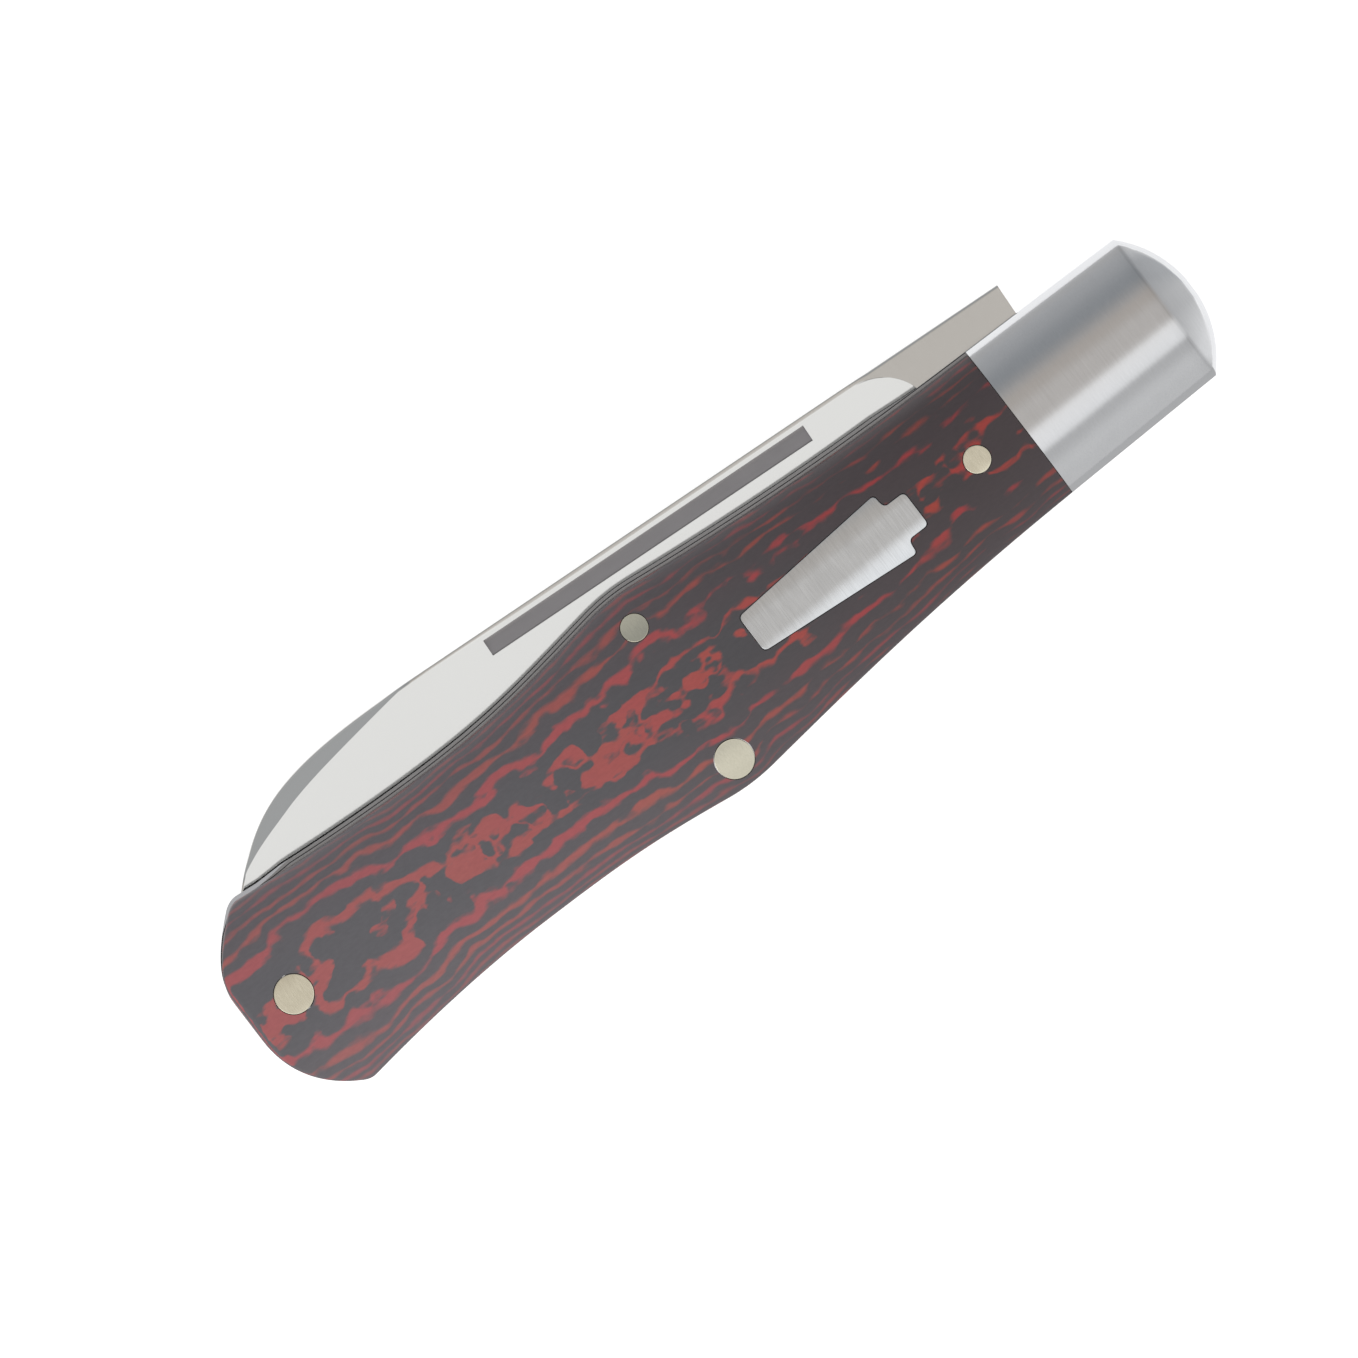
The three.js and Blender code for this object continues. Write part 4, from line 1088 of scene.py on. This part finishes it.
class KNIFE_OT_pivot(bpy.types.Operator):
    """Make the pivot pin and the bolster rivets, hidden under the bolsters, and finish bushing and
    washers"""

    bl_idname = "knife.pivot"
    bl_label = "Pivot"

    def execute(self, context):
        outline, finish = Outline(context.scene.knife_handle), context.scene.knife_finish
        # Plain turned steel and bronze, which lie hidden and only have to look right when the knife is
        # opened up
        steel = satin_metal("Turned_pivot_steel", finish.spring_steel, roughness=0.3)
        bronze = satin_metal("Turned_bronze", finish.bronze, roughness=0.35)
        rows = [("pivot_pin", (-1, 1))]
        rows += [(f"{face}_bolster_{where}_rivet", (side,)) for face, side in FACES
                 for where in ("upper", "lower")]
        for name, faces in rows:
            piece = place(pin(name, outline, 0, outline.shape.rivet_sink, faces))
            dress(piece, "handle", name, steel)
        for name in ("pivot_bushing", "front_pivot_washer", "rear_pivot_washer"):
            for slot in frame["nodes"][name].material_slots:
                slot.material = bronze
        return {"FINISHED"}


# Stage


class KNIFE_OT_stage(bpy.types.Operator):
    """Make the floor, the soft light round the knife, one soft lamp, and the camera"""

    bl_idname = "knife.stage"
    bl_label = "Stage"

    # Brightness and warmth of the surroundings by their angle to the upright, in degrees towards the
    # blade's side: white cards, and darker gaps between them, as round a small thing on a photographer's
    # table
    CARDS = (
        (-100, 0.75, 0), (-60, 0.76, 0), (-38, 0.79, 0), (-28, 0.76, 0), (-20, 0.67, 0), (-16, 0.64, 0),
        (-14, 0.68, 0), (-11.5, 1.06, 0), (-9, 1.13, 0), (-4, 1.13, 0.2), (-2.5, 1, 0.5), (-0.8, 0.64, 1.2),
        (3, 0.55, 2), (6, 0.53, 2), (8, 0.5, 1), (11, 0.42, 0), (15, 0.38, -1), (20, 0.39, -1),
        (36, 0.47, -0.6), (60, 0.53, -0.4), (75, 0.56, 0), (84, 0.6, 0), (90, 0.72, 0), (100, 0.95, 0),
    )

    # The same past the nose, and how bright all of it is by the angle to the upright towards the nose
    NOSE_CARDS = (
        (-100, 1.2, 0), (-60, 1.15, 0), (-36, 1.07, 0), (-8, 0.78, 0), (0, 0.68, 0), (16, 0.57, -0.5),
        (40, 0.6, -0.5), (78, 0.9, 0), (100, 1.1, 0),
    )
    NOSE_END = ((3, 1, 0), (18, 0.82, 0), (37, 0.88, 0), (58, 0.92, 0), (75, 1.08, 0), (90, 1.3, 0))

    # How much one step of warmth adds to red and takes from blue
    WARMTH = 0.04

    # Between which places of the frame, in millimetres, the table begins to be mirrored as white: along
    # the knife, by a line that leans half as far towards the nose as it runs across, and across it
    WHITE_PAST_NOSE = {"From Min": 43, "From Max": 45}
    WHITE_ON_BLADE_SIDE = {"From Min": -3, "From Max": -2}

    def execute(self, context):
        scene, stage = context.scene, context.scene.knife_stage
        scene.view_settings.view_transform = "Standard"
        # The floor lies a hair under the knife
        half, height = stage.floor_width / 2, -0.01 * MM
        mesh = bpy.data.meshes.new("Floor")
        corners = [(x * half, y * half, height) for x, y in ((-1, -1), (1, -1), (1, 1), (-1, 1))]
        mesh.from_pydata(corners, [], [(0, 1, 2, 3)])
        floor = place(mesh)
        material, tree, shader, point = new_material("Matt_white_table")
        # Steel mirrors the table as white on the blade's side and past the nose, and as grey on the side
        # of the back
        along, across = (add(tree, "SeparateXYZ", {0: point}, axis) for axis in "XY")
        past_nose = add(tree, "Math", {0: across, 1: 0.5, 2: along}, operation="MULTIPLY_ADD")
        past_nose = add(tree, "MapRange", {"Value": past_nose, **self.WHITE_PAST_NOSE})
        blade_side = add(tree, "MapRange", {"Value": across, **self.WHITE_ON_BLADE_SIDE})
        bright = add(tree, "Math", {0: past_nose, 1: blade_side}, operation="MAXIMUM")
        mirrored = add(tree, "LightPath", output="Is Glossy Ray")
        mirrored = add(tree, "Math", {0: mirrored, 1: bright}, operation="MULTIPLY")
        seen = add(tree, "LightPath", output="Is Camera Ray")
        either = add(tree, "Math", {0: seen, 1: mirrored}, operation="MAXIMUM")
        glow = add(tree, "Math", {0: either, 1: stage.floor_glow}, operation="MULTIPLY")
        fill(shader, {"Base Color": (0.85, 0.85, 0.85, 1), "Roughness": 1, "Specular IOR Level": 0,
                      "Emission Color": (1, 1, 1, 1), "Emission Strength": glow})
        mesh.materials.append(material)

        world = bpy.data.worlds.new("Studio")
        scene.world = world
        world.use_nodes = True
        tree = world.node_tree
        direction = add(tree, "TexCoord", output="Generated")
        across, up = (add(tree, "SeparateXYZ", {0: direction}, axis) for axis in "YZ")
        angle = add(tree, "Math", {0: across, 1: up}, operation="ARCTAN2")
        lengthways = add(tree, "SeparateXYZ", {0: direction}, "X")
        to_nose = add(tree, "Math", {0: lengthways}, operation="ARCSINE")
        tints = []
        for source, table in ((angle, self.CARDS), (angle, self.NOSE_CARDS), (to_nose, self.NOSE_END)):
            turn = add(tree, "MapRange", {"Value": source, "From Min": -math.pi, "From Max": math.pi})
            stops = [(0.5 + degrees / 360, [value * (1 + side * warmth * self.WARMTH) for side in (1, 0, -1)])
                     for degrees, value, warmth in table]
            tints.append(add(tree, "ValToRGB", {0: turn}, stops=stops))
        # The cards past the nose take over as a direction turns towards it, between these sines
        nose = add(tree, "MapRange", {"Value": lengthways, "From Min": 0.3, "From Max": 0.75})
        cards = add(tree, "Mix", {0: nose, 6: tints[0], 7: tints[1]}, 2, data_type="RGBA")
        ends = add(tree, "VectorMath", {0: cards, 1: tints[2]}, operation="MULTIPLY")
        seen = add(tree, "LightPath", output="Is Camera Ray")
        shown = add(tree, "Mix", {0: seen, 6: ends, 7: (1, 1, 1, 1)}, 2, data_type="RGBA")
        fill(tree.nodes["Background"], {"Color": shown})

        light = bpy.data.lights.new("Soft_lamp", "AREA")
        light.size = stage.lamp_width
        light.energy = stage.lamp_power
        lamp = bpy.data.objects.new("Soft_lamp", light)
        scene.collection.objects.link(lamp)
        aim, from_place = np.array(stage.aim), np.array(stage.lamp_place)
        lamp.location = from_place
        lean = aim - from_place
        lamp.rotation_euler = (math.atan2(math.hypot(lean[0], lean[1]), -lean[2]), 0,
                               math.atan2(lean[1], lean[0]) - math.pi / 2)

        lens = bpy.data.cameras.new("Camera")
        lens.lens = stage.lens
        lens.sensor_width = 36
        camera = bpy.data.objects.new("Camera", lens)
        scene.collection.objects.link(camera)
        camera.location = aim + np.array([0, 0, stage.width * stage.lens / lens.sensor_width])
        camera.rotation_euler = (0, 0, stage.turn)
        scene.camera = camera
        return {"FINISHED"}


class KNIFE_PT_panel(bpy.types.Panel):
    """Lists the steps that make the knife, and their settings"""

    bl_label = "Pocket knife"
    bl_idname = "KNIFE_PT_panel"
    bl_space_type = "VIEW_3D"
    bl_region_type = "UI"
    bl_category = "Knife"

    def draw(self, context):
        for operator in OPERATORS:
            self.layout.operator(operator.bl_idname)
        for name, group in GROUPS.items():
            settings = getattr(context.scene, name)
            box = self.layout.box()
            box.label(text=group.__doc__)
            for prop in group.__annotations__:
                box.prop(settings, prop)


GROUPS = {
    "knife_handle": KnifeHandleShape,
    "knife_blade": KnifeBladeShape,
    "knife_spring": KnifeSpringShape,
    "knife_finish": KnifeFinish,
    "knife_stage": KnifeStage,
}
OPERATORS = (KNIFE_OT_liners, KNIFE_OT_bolsters, KNIFE_OT_covers, KNIFE_OT_shield, KNIFE_OT_backspring,
             KNIFE_OT_blade, KNIFE_OT_pins, KNIFE_OT_pivot, KNIFE_OT_stage)
CLASSES = (*GROUPS.values(), *OPERATORS, KNIFE_PT_panel)


def register():
    for kind in CLASSES:
        bpy.utils.register_class(kind)
    for name, group in GROUPS.items():
        setattr(bpy.types.Scene, name, PointerProperty(type=group))


def unregister():
    for name in GROUPS:
        delattr(bpy.types.Scene, name)
    for kind in reversed(CLASSES):
        bpy.utils.unregister_class(kind)


def main():
    """Registers the classes and makes all pieces in order."""
    register()
    for operator in OPERATORS:
        area, name = operator.bl_idname.split(".")
        getattr(getattr(bpy.ops, area), name)()
    bpy.context.view_layer.update()


if __name__ == "__main__":
    main()
